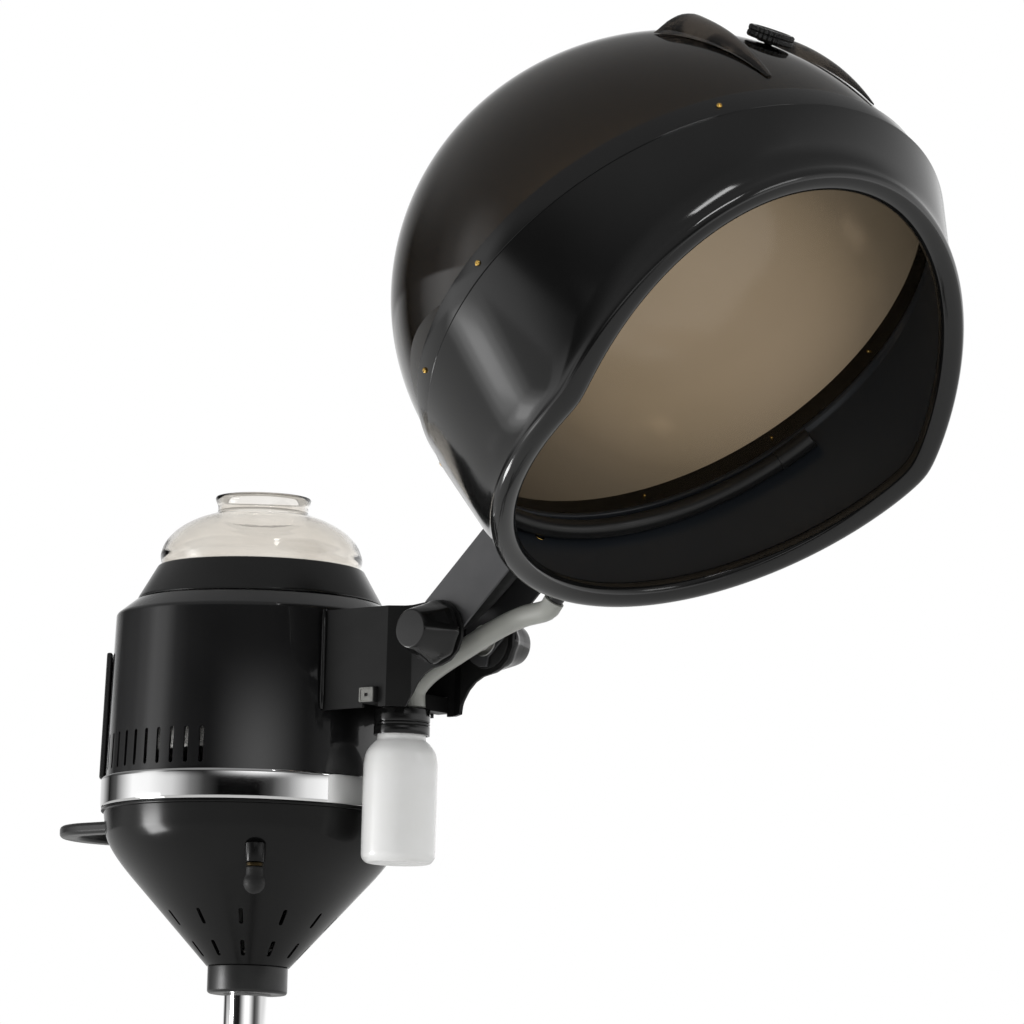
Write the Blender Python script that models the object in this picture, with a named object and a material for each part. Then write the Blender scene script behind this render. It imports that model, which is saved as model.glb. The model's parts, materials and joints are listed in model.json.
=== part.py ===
"""Salon hair steamer on a rolling stand, in metres, +Z up.

The pole's axis is the Z axis and the floor is Z = 0. The hood reaches forward along +X, and the
control panel faces back along -X.
"""

import math

import bmesh
import bpy
from mathutils import Matrix, Vector

# Fits
GAP = 0.0003                     # between pieces that touch
BORE_PLAY = 0.0005               # radial room of a stud or a tube in its bore
MERGE = 0.0001
HOSE_SPACING = 2.2               # hose radii between the points of its curve
EASE = 0.0015                    # slope taken off a turned edge
OVERLAP = 0.001                  # how far fused shapes run into each other
CLEAR = 0.010                    # how far a cutter runs past the face it enters

# Facets round turned pieces
STEPS_LARGE = 28
STEPS_MIDDLE = 14
STEPS_SMALL = 10

# Star base and casters
LEG_COUNT = 5
LEG_REACH = 0.290                # pole axis to caster stem
LEG_ROOT_WIDTH = 0.050
LEG_TIP_WIDTH = 0.032
LEG_ROOT_HEIGHT = 0.044
LEG_TIP_HEIGHT = 0.022
LEG_HOLLOW = 0.003               # the leg's back dips this much at mid length
LEG_UNDERSIDE = 0.062
LEG_BOSS_RADIUS = 0.019
HUB_RADIUS = 0.052
HUB_TOP_RADIUS = 0.034
HUB_HEIGHT = 0.072
HUB_FLOOR = 0.012
STEM_RADIUS = 0.0055
STEM_LENGTH = 0.018
WHEEL_RADIUS = 0.025
WHEEL_STEPS = 12
WHEEL_WIDTH = 0.012
WHEEL_SPACING = 0.0185           # between the inner faces of twin wheels
AXLE_RADIUS = 0.004
CASTER_TRAIL = 0.020
FORK_WEB = 0.014
FENDER_CLEARANCE = 0.0022
FENDER_THICKNESS = 0.0025

# Pole
POLE_RADIUS = 0.0175
POLE_WALL = 0.002
POLE_IN_TUBE = 0.260             # length of pole inside the lower tube
TUBE_WALL = 0.0032
TUBE_TOP = 0.560
CLAMP_RADIUS = 0.029
CLAMP_HEIGHT = 0.045
CLAMP_LIP = 0.012
LOCK_STUD_RADIUS = 0.004
LOCK_BOSS_RADIUS = 0.011
LOCK_BOSS_LENGTH = 0.008
LOCK_KNOB_RADIUS = 0.017
LOCK_KNOB_LENGTH = 0.022

# Steam unit, bottom to top
COLLAR_UNDERSIDE = 0.860         # floor to the collar that sits on the pole
COLLAR_RADIUS = 0.0306
COLLAR_HEIGHT = 0.0205
BOWL_FOOT_RADIUS = 0.0316
BOWL_CONE_HEIGHT = 0.088
BOWL_CONE_TOP_RADIUS = 0.1108
BOWL_TOP_RADIUS = 0.1140
BOWL_HEIGHT = 0.129
BOWL_ROUND = 0.026
BOWL_WALL = 0.0025
BEAD_HEIGHT = 0.0024             # the bead under the chrome band
BEAD_FOOT = 0.003                # where the bowl's side begins, under the band
BOWL_SLOT_COUNT = 12
BOWL_SLOT_WIDTH = 0.0032
BOWL_SLOT_LENGTH = 0.0150
BOWL_SLOT_ROWS = (0.0115, 0.0340)  # heights above the bowl's foot
BOWL_SLOT_TURN = math.pi / (2 * BOWL_SLOT_COUNT)
BAND_RADIUS = 0.1168
BAND_THICKNESS = 0.0022
BAND_HEIGHT = 0.0228
SHELL_TOP_RADIUS = 0.1105
SHELL_HEIGHT = 0.136
SHELL_SHOULDER_HEIGHT = 0.0130
SHELL_MOUTH_RADIUS = 0.0860
SHELL_WALL = 0.002
VENT_COUNT = 10
VENT_PITCH = math.pi / STEPS_LARGE   # two slots to a facet
VENT_FIRST = 10.5 * VENT_PITCH   # from the front, on each side
VENT_WIDTH = 0.0034
VENT_LENGTH = 0.0275
VENT_LIFT = 0.0045               # above the chrome band
RING_FOOT_RADIUS = 0.0935
RING_TOP_RADIUS = 0.0790
RING_HEIGHT = 0.0267
RING_WALL = 0.0025
JAR_RADIUS = 0.0768
JAR_WALL = 0.003
JAR_SKIRT = 0.0305               # straight part, most of it inside the ring
JAR_SHOULDER = 0.034
JAR_NECK_RADIUS = 0.0335
JAR_NECK_HEIGHT = 0.013
JAR_LIP = 0.0030
BOILER_RADIUS = 0.0845
BOILER_DEPTH = 0.120
BOILER_WALL = 0.0015
BOILER_FLANGE = 0.0045
FLANGE_THICKNESS = 0.0015
GASKET_THICKNESS = 0.002
HEATER_RADIUS = 0.052
HEATER_TUBE = 0.0042
HEATER_LIFT = 0.014              # above the tank's floor
HEATER_SWEEP = math.radians(320)
HEATER_START = math.radians(200)
THERMOSTAT_RADIUS = 0.014
THERMOSTAT_HEIGHT = 0.010
SOCKET_WALL = 0.004
SOCKET_DEPTH = 0.046

# Pieces on the unit
PANEL_THICKNESS = 0.0042
PANEL_HEIGHT = 0.097
PANEL_HALF_ANGLE = math.radians(43)
TIMER_RADIUS = 0.019
TIMER_LENGTH = 0.016
TIMER_SHAFT = 0.0035
SWITCH_WIDTH = 0.013
SWITCH_HEIGHT = 0.020
SWITCH_PROUD = 0.0035
SWITCH_OFFSET = math.radians(24)
CONTROLS_LIFT = 0.55             # height of the controls as a part of the panel's
LAMP_RADIUS = 0.0045
LAMP_PROUD = 0.003
HANDLE_HALF_WIDTH = 0.055
HANDLE_BAR = 0.015
HANDLE_THICKNESS = 0.009
HANDLE_REACH = 0.185             # pole axis to the handle's tip
HANDLE_DROP = 0.0065             # below the chrome band
DRAIN_AZIMUTH = math.radians(-45)
DRAIN_INSET = 0.0068             # from the top of the bowl's cone in to the drain's axis
DRAIN_BOSS_RADIUS = 0.0075
DRAIN_BOSS_BOTTOM = 0.0920       # above the collar's underside
NIPPLE_RADIUS = 0.0045
NIPPLE_LENGTH = 0.016
NIPPLE_NUT_RADIUS = 0.0064
NIPPLE_NUT_HEIGHT = 0.003
CAP_BULB_RADIUS = 0.0084
CAP_LENGTH = 0.0205
GLAND_RADIUS = 0.009
GLAND_LENGTH = 0.016
GLAND_BORE = 0.0036
GLAND_LIFT = 0.052               # up the bowl's cone
GLAND_ANGLE = math.radians(142.5)  # round the bowl from the front

# Arm bracket, bottle and hoses
BRACKET_HALF_WIDTH = 0.040
BRACKET_BOTTOM = 1.0680
BRACKET_TOP = 1.1435
BRACKET_FRONT = 0.181
SHEET = 0.0025
BEND_START = 0.1700              # where the cheeks begin to draw in
EAR_BEND = 0.0155                # length of the slanted part of a cheek
EAR_RADIUS = 0.025
PIVOT_X = 0.2105
PIVOT_Z = 1.1215
DISC_THICKNESS = 0.0014
DISC_RADIUS = 0.021
ARM_HALF_WIDTH = 0.0255
ARM_SHEET = 0.002
ARM_TOP = 0.030                  # above the pivot, across the arm
ARM_BOTTOM = -0.012
ARM_LENGTH = 0.0890
ARM_END_RADIUS = 0.020
PIVOT_STUD_RADIUS = 0.004
KNOB_SKIRT_RADIUS = 0.0240
KNOB_RADIUS = 0.0212
KNOB_FACE_RADIUS = 0.0150
KNOB_LENGTH = 0.0295
KNOB_SKIRT_LENGTH = 0.005
STUD_END = 0.002                 # the stud shows this much past its nut
NUT_RADIUS = 0.0075
NUT_HEIGHT = 0.005
WASHER_RADIUS = 0.012
WASHER_THICKNESS = 0.0015
BAR_X = 0.1545
BAR_WIDTH = 0.015
BAR_HEIGHT = 0.012
BAR_LIFT = 0.0028                # above the bracket's lower edge
BAR_OVERHANG = 0.004
CAP_RADIUS = 0.0212
CAP_HEIGHT = 0.020
CAP_TOP_WALL = 0.003
CAP_WALL = 0.0022
CAP_RIB = 0.0012
BOTTLE_X = 0.1510
BOTTLE_RADIUS = 0.0280
BOTTLE_NECK_RADIUS = 0.0183
BOTTLE_NECK_HEIGHT = 0.019
BOTTLE_SHOULDER = 0.020
BOTTLE_BODY = 0.074
BOTTLE_WALL = 0.0016
BARB_RADIUS = 0.0052
BARB_HEIGHT = 0.006
BARB_X = 0.0125                  # forward of the bottle's axis
HOSE_STRAIGHT = 0.0065           # a hose leaves its fitting straight for about this long
DRAIN_HOSE_RADIUS = 0.0080
DRAIN_ROUTE = ((-0.0380, -0.0285), (-0.0241, -0.0205), (0.0051, -0.0075), (0.0344, 0.0045),
               (0.0585, 0.0118))  # forward and up from the pivot
STEAM_HOSE_RADIUS = 0.0085
STEAM_ROUTE = ((-0.0290, 0.0068), (-0.0120, 0.0105), (0.0160, 0.0260))  # forward and up from the pivot
STEAM_TUBE_RADIUS = 0.0095
STEAM_TUBE_WALL = 0.0015
STEAM_TUBE_Z = 1.1270
STEAM_TUBE_END = 0.150

# Hood, in its own frame: x runs from nape to forehead, y across, z up to the dome's crown
HOOD_TILT = math.radians(42.4)
NAPE_AHEAD = 0.1028              # pivot to the dome's edge at the nape, along the arm
HOOD_ABOVE = 0.0393              # pivot to the dome's lower edge, across the arm
HOOD_HALF_LENGTH = 0.204
HOOD_HALF_WIDTH = 0.226
DOME_HEIGHT = 0.195
DOME_WALL = 0.003
DOME_SKIRT = 0.016               # straight edge of the dome inside the ring
RIM_INSET_LENGTH = 0.0150        # the rim's oval is smaller than the hood's by this
RIM_INSET_WIDTH = 0.0273
RIM_SHIFT = -0.0156              # the rim's oval lies this far towards the nape
RIM_RADIUS = 0.0094
RIM_DEPTH_NAPE = 0.0959
RIM_DEPTH_TEMPLE = 0.1252
RIM_DEPTH_FOREHEAD = 0.0602
RIM_TEMPLE_X = -0.0159
RIM_TEMPLE_ROUND = 0.0100
VISOR_WALL = 0.003
VISOR_STEP = 0.0016              # the wall stands this far out of the flange
FLANGE_DEPTH = 0.018
LEDGE_WIDTH = 0.005
LEDGE_THICKNESS = 0.003
LEDGE_FILLET = 0.004
HOOD_STEPS = 36
PIPE_RADIUS = 0.0072
PIPE_DEPTH = 0.0335
PIPE_HALF_STEPS = 7              # facets of the ring, each way from the nape
INLET_RADIUS = 0.0060
INLET_NUT_RADIUS = 0.0095
INLET_NUT_LENGTH = 0.005
SPIGOT_RADIUS = 0.0062
SPIGOT_FLANGE_RADIUS = 0.0092
SPIGOT_LENGTH = 0.012
SPIGOT_DEPTH = 0.0830
SADDLE_HALF_WIDTH = 0.024
SADDLE_DEPTH = (0.0185, 0.050)
VENT_KNOB_ANGLE = math.radians(24.5)
VENT_STEM_RADIUS = 0.003
VENT_KNOB_RADIUS = 0.0175
VENT_KNOB_HEIGHT = 0.009
VENT_KNOB_LIFT = 0.0018
VENT_KNOB_RIDGES = 14
VENT_KNOB_RIDGE = 0.0012
DAMPER_RADIUS = 0.019
DAMPER_DROP = 0.0036             # under the dome's inner face, clear of its curve
DAMPER_THICKNESS = 0.0015
SCOOP_OFFSET = 0.060
SCOOP_HEIGHT = 0.0135
SCOOP_HALF_WIDTH = 0.021
SCOOP_BACK = math.radians(33.5)
SCOOP_STEEPNESS = 9.0            # how fast the blunt back rises to full height
SCOOP_EDGE = 0.0012
SCOOP_FRONT = math.radians(5)
SCOOP_TIP = 0.12                 # width of the scoop's tip as a part of its full width

# Heights and places that follow
HUB_TOP = LEG_UNDERSIDE + HUB_HEIGHT
TUBE_BORE = POLE_RADIUS + BORE_PLAY
TUBE_RADIUS = TUBE_BORE + TUBE_WALL
AXLE_HEIGHT = WHEEL_RADIUS * math.cos(math.pi / WHEEL_STEPS)
BOWL_FOOT = COLLAR_UNDERSIDE + COLLAR_HEIGHT + GAP
BOWL_TOP = BOWL_FOOT + BOWL_HEIGHT
BAND_BOTTOM = BOWL_TOP - BAND_HEIGHT / 2
BAND_TOP = BAND_BOTTOM + BAND_HEIGHT
SHELL_BOTTOM = BOWL_TOP + GAP
SHELL_SHOULDER = SHELL_BOTTOM + SHELL_HEIGHT
SHELL_TOP = SHELL_SHOULDER + SHELL_SHOULDER_HEIGHT
SHELL_FOOT_RADIUS = BAND_RADIUS - BAND_THICKNESS - GAP
BOWL_RIM_RADIUS = (BAND_RADIUS - BAND_THICKNESS) * math.cos(math.pi / STEPS_LARGE) - GAP
RING_BOTTOM = SHELL_TOP + GAP
FLANGE_TOP = SHELL_TOP + GAP + FLANGE_THICKNESS
JAR_BOTTOM = FLANGE_TOP + GASKET_THICKNESS + 2 * GAP
POLE_TOP = BOWL_FOOT + SOCKET_DEPTH
EAR_OUTER = ARM_HALF_WIDTH + DISC_THICKNESS + 2 * GAP + SHEET
BAR_BOTTOM = BRACKET_BOTTOM + BAR_LIFT
CAP_TOP = BAR_BOTTOM - GAP
HANDLE_TOP = BAND_BOTTOM - HANDLE_DROP
DRAIN_OFFSET = BOWL_CONE_TOP_RADIUS - DRAIN_INSET
HOOD_AHEAD = NAPE_AHEAD + HOOD_HALF_LENGTH
RIM_HALF_LENGTH = HOOD_HALF_LENGTH - RIM_INSET_LENGTH
RIM_HALF_WIDTH = HOOD_HALF_WIDTH - RIM_INSET_WIDTH


# Materials

def finish(name, colour, roughness, metallic=0.0):
    material = bpy.data.materials.new(name)
    material.use_nodes = True
    shader = material.node_tree.nodes["Principled BSDF"]
    shader.inputs["Base Color"].default_value = (*colour, 1.0)
    shader.inputs["Roughness"].default_value = roughness
    shader.inputs["Metallic"].default_value = metallic
    material.diffuse_color = (*colour, 1.0)
    return material


def finishes():
    return {
        "gloss_black": finish("gloss_black_enamel", (0.012, 0.012, 0.012), 0.18),
        "moulded_black": finish("moulded_black_plastic", (0.016, 0.016, 0.016), 0.35),
        "satin_black": finish("satin_black_sheet", (0.022, 0.022, 0.022), 0.45),
        "grey_sheet": finish("satin_grey_sheet", (0.060, 0.060, 0.060), 0.40),
        "rubber": finish("black_rubber", (0.015, 0.015, 0.015), 0.70),
        "chrome": finish("chrome_plate", (0.80, 0.80, 0.80), 0.06, 1.0),
        "steel": finish("stainless_steel", (0.55, 0.55, 0.54), 0.28, 1.0),
        "brass": finish("turned_brass", (0.62, 0.42, 0.14), 0.30, 1.0),
        "smoke": finish("smoked_acrylic", (0.10, 0.075, 0.055), 0.08),
        "glass": finish("clear_glass", (0.78, 0.76, 0.74), 0.03),
        "milky": finish("milky_plastic", (0.72, 0.72, 0.71), 0.45),
        "silicone": finish("grey_silicone", (0.42, 0.42, 0.40), 0.40),
        "amber": finish("amber_lens", (0.60, 0.20, 0.03), 0.20),
    }


# Building blocks

def frame(name, parent=None, place=None):
    """An empty that carries the pieces of one joint or one local frame."""
    empty = bpy.data.objects.new(name, None)
    bpy.context.scene.collection.objects.link(empty)
    empty.parent = parent
    if place is not None:
        empty.matrix_local = place
    return empty


def add(name, mesh, material, parent=None, place=None):
    obj = bpy.data.objects.new(name, mesh)
    if material is not None:
        mesh.materials.append(material)
    bpy.context.scene.collection.objects.link(obj)
    obj.parent = parent
    if place is not None:
        obj.matrix_local = place
    return obj


def helper(obj):
    obj.hide_render = True
    obj.display_type = "WIRE"
    return obj


def turned(name, profile, material, parent=None, place=None, steps=STEPS_MIDDLE, closed=True):
    """A piece turned round its own Z axis from (radius, height) points, down the outer side.

    An open profile starts and ends on the axis; a closed one leaves a hole.
    """
    mesh = bpy.data.meshes.new(name)
    last = len(profile) if closed else len(profile) - 1
    edges = [(i, (i + 1) % len(profile)) for i in range(last)]
    mesh.from_pydata([(radius, 0.0, height) for radius, height in profile], edges, [])
    obj = add(name, mesh, material, parent, place)
    screw = obj.modifiers.new("turn", "SCREW")
    screw.steps = steps
    screw.render_steps = steps
    screw.use_merge_vertices = True
    screw.merge_threshold = MERGE
    return obj


def slab(name, outline, thickness, material, parent=None, place=None):
    """A flat piece with a closed outline in its own XY plane, from Z = 0 up."""
    shape = bmesh.new()
    face = shape.faces.new([shape.verts.new((x, y, 0.0)) for x, y in outline])
    grown = bmesh.ops.extrude_face_region(shape, geom=[face])["geom"]
    raised = [item for item in grown if isinstance(item, bmesh.types.BMVert)]
    bmesh.ops.translate(shape, verts=raised, vec=(0.0, 0.0, thickness))
    bmesh.ops.recalc_face_normals(shape, faces=shape.faces)
    return add(name, mesh_of(shape, name), material, parent, place)


def mesh_of(shape, name):
    mesh = bpy.data.meshes.new(name)
    shape.to_mesh(mesh)
    shape.free()
    return mesh


def loft(name, loops, material, parent=None, place=None, ring=False):
    """A closed skin through point loops of equal length, capped at both ends unless it is a ring."""
    shape = bmesh.new()
    rows = [[shape.verts.new(point) for point in loop] for loop in loops]
    pairs = list(zip(rows, rows[1:]))
    if ring:
        pairs.append((rows[-1], rows[0]))
    else:
        shape.faces.new(rows[0])
        shape.faces.new(rows[-1])
    for low, high in pairs:
        for i, vert in enumerate(low):
            j = (i + 1) % len(low)
            shape.faces.new((vert, low[j], high[j], high[i]))
    bmesh.ops.recalc_face_normals(shape, faces=shape.faces)
    for face in shape.faces:
        face.smooth = True
    mesh = mesh_of(shape, name)
    mesh.set_sharp_from_angle(angle=math.radians(40))
    return add(name, mesh, material, parent, place)


def pin(name, radius, start, end, parent=None, sides=STEPS_SMALL):
    """A helper cylinder from one point to another."""
    start, end = Vector(start), Vector(end)
    shape = bmesh.new()
    bmesh.ops.create_cone(shape, cap_ends=True, segments=sides, radius1=radius, radius2=radius,
                          depth=(end - start).length)
    turn = (end - start).to_track_quat("Z", "Y").to_matrix().to_4x4()
    bmesh.ops.transform(shape, matrix=Matrix.Translation((start + end) / 2) @ turn, verts=shape.verts)
    return helper(add(name, mesh_of(shape, name), None, parent))


def combine(obj, other, operation):
    change = obj.modifiers.new(f"{operation.lower()}_{other.name}", "BOOLEAN")
    change.operation = operation
    change.object = other
    change.solver = "EXACT"
    return obj


def cut(obj, cutter):
    return combine(obj, helper(cutter), "DIFFERENCE")


def fuse(obj, other):
    return combine(obj, helper(other), "UNION")


def hose(name, points, radius, material):
    """A flexible tube on a smooth curve through the route's points, a point every diameter or so."""
    path = smooth_path([Vector(point) for point in points], HOSE_SPACING * radius)
    return tube(name, path, radius, material, 3)


def tube(name, path, radius, material, roundness, parent=None):
    """A round tube with closed ends along a run of points."""
    curve = bpy.data.curves.new(name, "CURVE")
    curve.dimensions = "3D"
    curve.bevel_depth = radius
    curve.bevel_resolution = roundness
    curve.use_fill_caps = True
    spline = curve.splines.new("POLY")
    spline.points.add(len(path) - 1)
    for slot, point in zip(spline.points, path):
        slot.co = (*point, 1.0)
    curve.materials.append(material)
    obj = bpy.data.objects.new(name, curve)
    bpy.context.scene.collection.objects.link(obj)
    obj.parent = parent
    return obj


def smooth_path(points, spacing):
    """Points at about this spacing on a Catmull-Rom curve through the given ones."""
    ends = [2 * points[0] - points[1]] + points + [2 * points[-1] - points[-2]]
    path = [points[0]]
    for a, b, c, d in zip(ends, ends[1:], ends[2:], ends[3:]):
        count = max(1, round((c - b).length / spacing))
        for step in range(1, count + 1):
            t = step / count
            path.append(0.5 * (2 * b + (c - a) * t + (2 * a - 5 * b + 4 * c - d) * t * t
                               + (3 * b - a - 3 * c + d) * t * t * t))
    return path


def arc(centre, radius, start, end, count):
    """Points on an arc in a plane, ends included, with angles in radians."""
    angles = [start + (end - start) * i / count for i in range(count + 1)]
    return [(centre[0] + radius * math.cos(a), centre[1] + radius * math.sin(a)) for a in angles]


def rounded(corner, before, after, radius, count):
    """The arc that rounds a corner between two straight runs."""
    corner, before, after = Vector(corner), Vector(before), Vector(after)
    to_before = (before - corner).normalized()
    to_after = (after - corner).normalized()
    half = to_before.angle(to_after) / 2
    centre = corner + (to_before + to_after).normalized() * radius / math.sin(half)
    first = corner + to_before * radius / math.tan(half) - centre
    last = corner + to_after * radius / math.tan(half) - centre
    sweep = first.angle_signed(last)
    return [tuple(centre + Matrix.Rotation(-sweep * i / count, 2) @ first) for i in range(count + 1)]


def at(x=0.0, y=0.0, z=0.0, turn=0.0, axis="Z"):
    return Matrix.Translation((x, y, z)) @ Matrix.Rotation(turn, 4, axis)


def polar(radius, angle, height=0.0):
    return Vector((radius * math.cos(angle), radius * math.sin(angle), height))


# Rolling stand

def leg_section(x, width, bottom, height):
    """The outline of a leg across its length, with its upper corners sloped off."""
    half, slope = width / 2, height * 0.35
    return [(x, -half, bottom), (x, half, bottom), (x, half, bottom + height - slope),
            (x, half * 0.6, bottom + height), (x, -half * 0.6, bottom + height),
            (x, -half, bottom + height - slope)]


def star_base(mat):
    socket = TUBE_RADIUS + GAP
    floor = LEG_UNDERSIDE + HUB_FLOOR
    base = turned("star_base", [
        (0.0, floor), (socket, floor), (socket, HUB_TOP), (HUB_TOP_RADIUS, HUB_TOP),
        (HUB_TOP_RADIUS + 0.004, HUB_TOP - 0.006), (HUB_RADIUS, LEG_UNDERSIDE + LEG_ROOT_HEIGHT),
        (HUB_RADIUS, LEG_UNDERSIDE), (0.0, LEG_UNDERSIDE)], mat["satin_black"], steps=20, closed=False)
    boss_top = LEG_UNDERSIDE + LEG_TIP_HEIGHT + 0.003
    for i in range(LEG_COUNT):
        angle = leg_angle(i)
        place = at(turn=angle)
        root = (HUB_RADIUS + socket) / 2
        leg = loft(f"leg_{i + 1}", [
            leg_section(root, LEG_ROOT_WIDTH, LEG_UNDERSIDE + OVERLAP, LEG_ROOT_HEIGHT),
            leg_section((root + LEG_REACH) / 2, (LEG_ROOT_WIDTH + LEG_TIP_WIDTH) / 2,
                        LEG_UNDERSIDE + OVERLAP, (LEG_ROOT_HEIGHT + LEG_TIP_HEIGHT) / 2 - LEG_HOLLOW),
            leg_section(LEG_REACH, LEG_TIP_WIDTH, LEG_UNDERSIDE + OVERLAP, LEG_TIP_HEIGHT)],
            None, place=place)
        fuse(base, leg)
        stem = polar(LEG_REACH, angle)
        boss_bottom = stem_bottom() + GAP
        fuse(base, pin(f"leg_boss_{i + 1}", LEG_BOSS_RADIUS, stem + Vector((0, 0, boss_bottom)),
                       stem + Vector((0, 0, boss_top)), sides=10))
        cut(base, pin(f"stem_bore_{i + 1}", STEM_RADIUS + BORE_PLAY,
                      stem + Vector((0, 0, boss_bottom - CLEAR)),
                      stem + Vector((0, 0, boss_bottom + STEM_LENGTH + GAP))))
    return base


def leg_angle(i):
    return math.tau * (i + 0.5) / LEG_COUNT


def stem_bottom():
    return AXLE_HEIGHT + WHEEL_RADIUS + FENDER_CLEARANCE + FENDER_THICKNESS + 0.002


def casters(mat):
    for i in range(LEG_COUNT):
        angle = leg_angle(i)
        swivel = frame(f"caster_{i + 1}_swivel", place=at(*polar(LEG_REACH, angle), turn=angle))
        caster_fork(f"caster_fork_{i + 1}", mat, swivel)
        caster_wheels(f"caster_wheels_{i + 1}", mat, swivel)


def caster_fork(name, mat, swivel):
    """A web between the wheels, a fender over them and the stem that turns in the leg."""
    across = at(-CASTER_TRAIL, FORK_WEB / 2, AXLE_HEIGHT) @ Matrix.Rotation(math.pi / 2, 4, "X")
    inner = WHEEL_RADIUS + FENDER_CLEARANCE
    outer = inner + FENDER_THICKNESS
    web = arc((0.0, 0.0), inner + FENDER_THICKNESS / 2, math.radians(-35), math.radians(215), 8)
    fork = slab(name, web, FORK_WEB, mat["moulded_black"], swivel, across)
    width = 2 * WHEEL_WIDTH + WHEEL_SPACING + 0.003
    band = (arc((0.0, 0.0), outer, math.radians(12), math.radians(168), 5)
            + arc((0.0, 0.0), inner, math.radians(168), math.radians(12), 5))
    cover = slab(f"{name}_fender", band, width, None, swivel,
                 at(-CASTER_TRAIL, width / 2, AXLE_HEIGHT) @ Matrix.Rotation(math.pi / 2, 4, "X"))
    fuse(fork, cover)
    block = pin(f"{name}_block", WHEEL_SPACING / 2 - 2 * GAP, (0, 0, AXLE_HEIGHT + WHEEL_RADIUS * 0.8),
                (0, 0, stem_bottom()), swivel, 8)
    fuse(fork, block)
    fuse(fork, pin(f"{name}_stem", STEM_RADIUS, (0, 0, stem_bottom() - 0.004),
                   (0, 0, stem_bottom() + STEM_LENGTH), swivel, 8))
    cut(fork, pin(f"{name}_bore", AXLE_RADIUS + BORE_PLAY, (-CASTER_TRAIL, -0.02, AXLE_HEIGHT),
                  (-CASTER_TRAIL, 0.02, AXLE_HEIGHT), swivel, 8))


def caster_wheels(name, mat, swivel):
    """Twin wheels on one axle, standing on a flat of their treads."""
    inner = WHEEL_SPACING / 2
    outer = inner + WHEEL_WIDTH
    half = [(0.0, outer), (WHEEL_RADIUS - 0.002, outer), (WHEEL_RADIUS, outer - 0.003), (WHEEL_RADIUS, inner),
            (AXLE_RADIUS, inner)]
    profile = half + [(radius, -height) for radius, height in reversed(half)]
    flat = math.pi / WHEEL_STEPS
    place = (at(-CASTER_TRAIL, 0.0, AXLE_HEIGHT) @ Matrix.Rotation(math.pi / 2, 4, "X")
             @ Matrix.Rotation(flat - math.pi / 2, 4, "Z"))
    return turned(name, profile, mat["moulded_black"], swivel, place, WHEEL_STEPS, closed=False)


def stand_tubes(mat):
    bottom = LEG_UNDERSIDE + HUB_FLOOR + GAP
    tube = turned("lower_tube", [(TUBE_RADIUS, TUBE_TOP), (TUBE_RADIUS, bottom), (TUBE_BORE, bottom),
                                 (TUBE_BORE, TUBE_TOP)], mat["chrome"])
    low = TUBE_TOP - POLE_IN_TUBE
    bore = POLE_RADIUS - POLE_WALL
    turned("upper_pole", [(POLE_RADIUS, POLE_TOP), (POLE_RADIUS, low), (bore, low), (bore, POLE_TOP)],
           mat["chrome"])
    clamp_top = TUBE_TOP + CLAMP_LIP
    clamp_bottom = TUBE_TOP - CLAMP_HEIGHT
    seat = TUBE_RADIUS + GAP
    clamp = turned("height_clamp", [
        (CLAMP_RADIUS - 0.003, clamp_top), (CLAMP_RADIUS, clamp_top - 0.003), (CLAMP_RADIUS, clamp_bottom),
        (seat, clamp_bottom), (seat, TUBE_TOP + GAP), (TUBE_BORE, TUBE_TOP + GAP), (TUBE_BORE, clamp_top)],
        mat["moulded_black"])
    lock_z = TUBE_TOP - CLAMP_HEIGHT / 2
    boss_end = CLAMP_RADIUS + LOCK_BOSS_LENGTH
    boss = pin("clamp_boss", LOCK_BOSS_RADIUS, (-(seat + OVERLAP), 0, lock_z), (-boss_end, 0, lock_z))
    fuse(clamp, boss)
    bore = pin("lock_bore", LOCK_STUD_RADIUS + BORE_PLAY, (-POLE_RADIUS, 0, lock_z),
               (-boss_end - CLEAR, 0, lock_z))
    cut(clamp, bore)
    cut(tube, bore)
    lock = frame("height_lock_axis", place=at(0, 0, lock_z, -math.pi / 2, "Y"))
    tip = POLE_RADIUS + GAP
    head = boss_end + GAP
    turned("height_lock_knob", [
        (0.0, head + LOCK_KNOB_LENGTH), (LOCK_KNOB_RADIUS - 0.004, head + LOCK_KNOB_LENGTH),
        (LOCK_KNOB_RADIUS, head + LOCK_KNOB_LENGTH - 0.004), (LOCK_KNOB_RADIUS, head + 0.006),
        (0.010, head), (LOCK_STUD_RADIUS, head), (LOCK_STUD_RADIUS, tip), (0.0, tip)],
        mat["moulded_black"], lock, steps=STEPS_SMALL, closed=False)


# Steam unit

def shell_radius(z):
    share = (z - SHELL_BOTTOM) / SHELL_HEIGHT
    return SHELL_FOOT_RADIUS + (SHELL_TOP_RADIUS - SHELL_FOOT_RADIUS) * share


def bowl_cone_radius(z):
    share = (z - BOWL_FOOT) / BOWL_CONE_HEIGHT
    return BOWL_FOOT_RADIUS + (BOWL_CONE_TOP_RADIUS - BOWL_FOOT_RADIUS) * share


def bowl_outline(inset, count):
    """The bowl's side from its rim down to its foot, moved in by the wall where asked."""
    corner = (BOWL_CONE_TOP_RADIUS - inset, BOWL_FOOT + BOWL_CONE_HEIGHT)
    top = (BOWL_TOP_RADIUS - inset, BAND_BOTTOM - BEAD_FOOT)
    cone = Vector((BOWL_CONE_TOP_RADIUS - BOWL_FOOT_RADIUS, BOWL_CONE_HEIGHT)).normalized()
    foot_radius = BOWL_FOOT_RADIUS - inset / cone.y
    lift = inset
    foot = (foot_radius + lift * cone.x / cone.y, BOWL_FOOT + lift)
    return [top] + rounded(corner, top, foot, BOWL_ROUND, count) + [foot]


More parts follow.
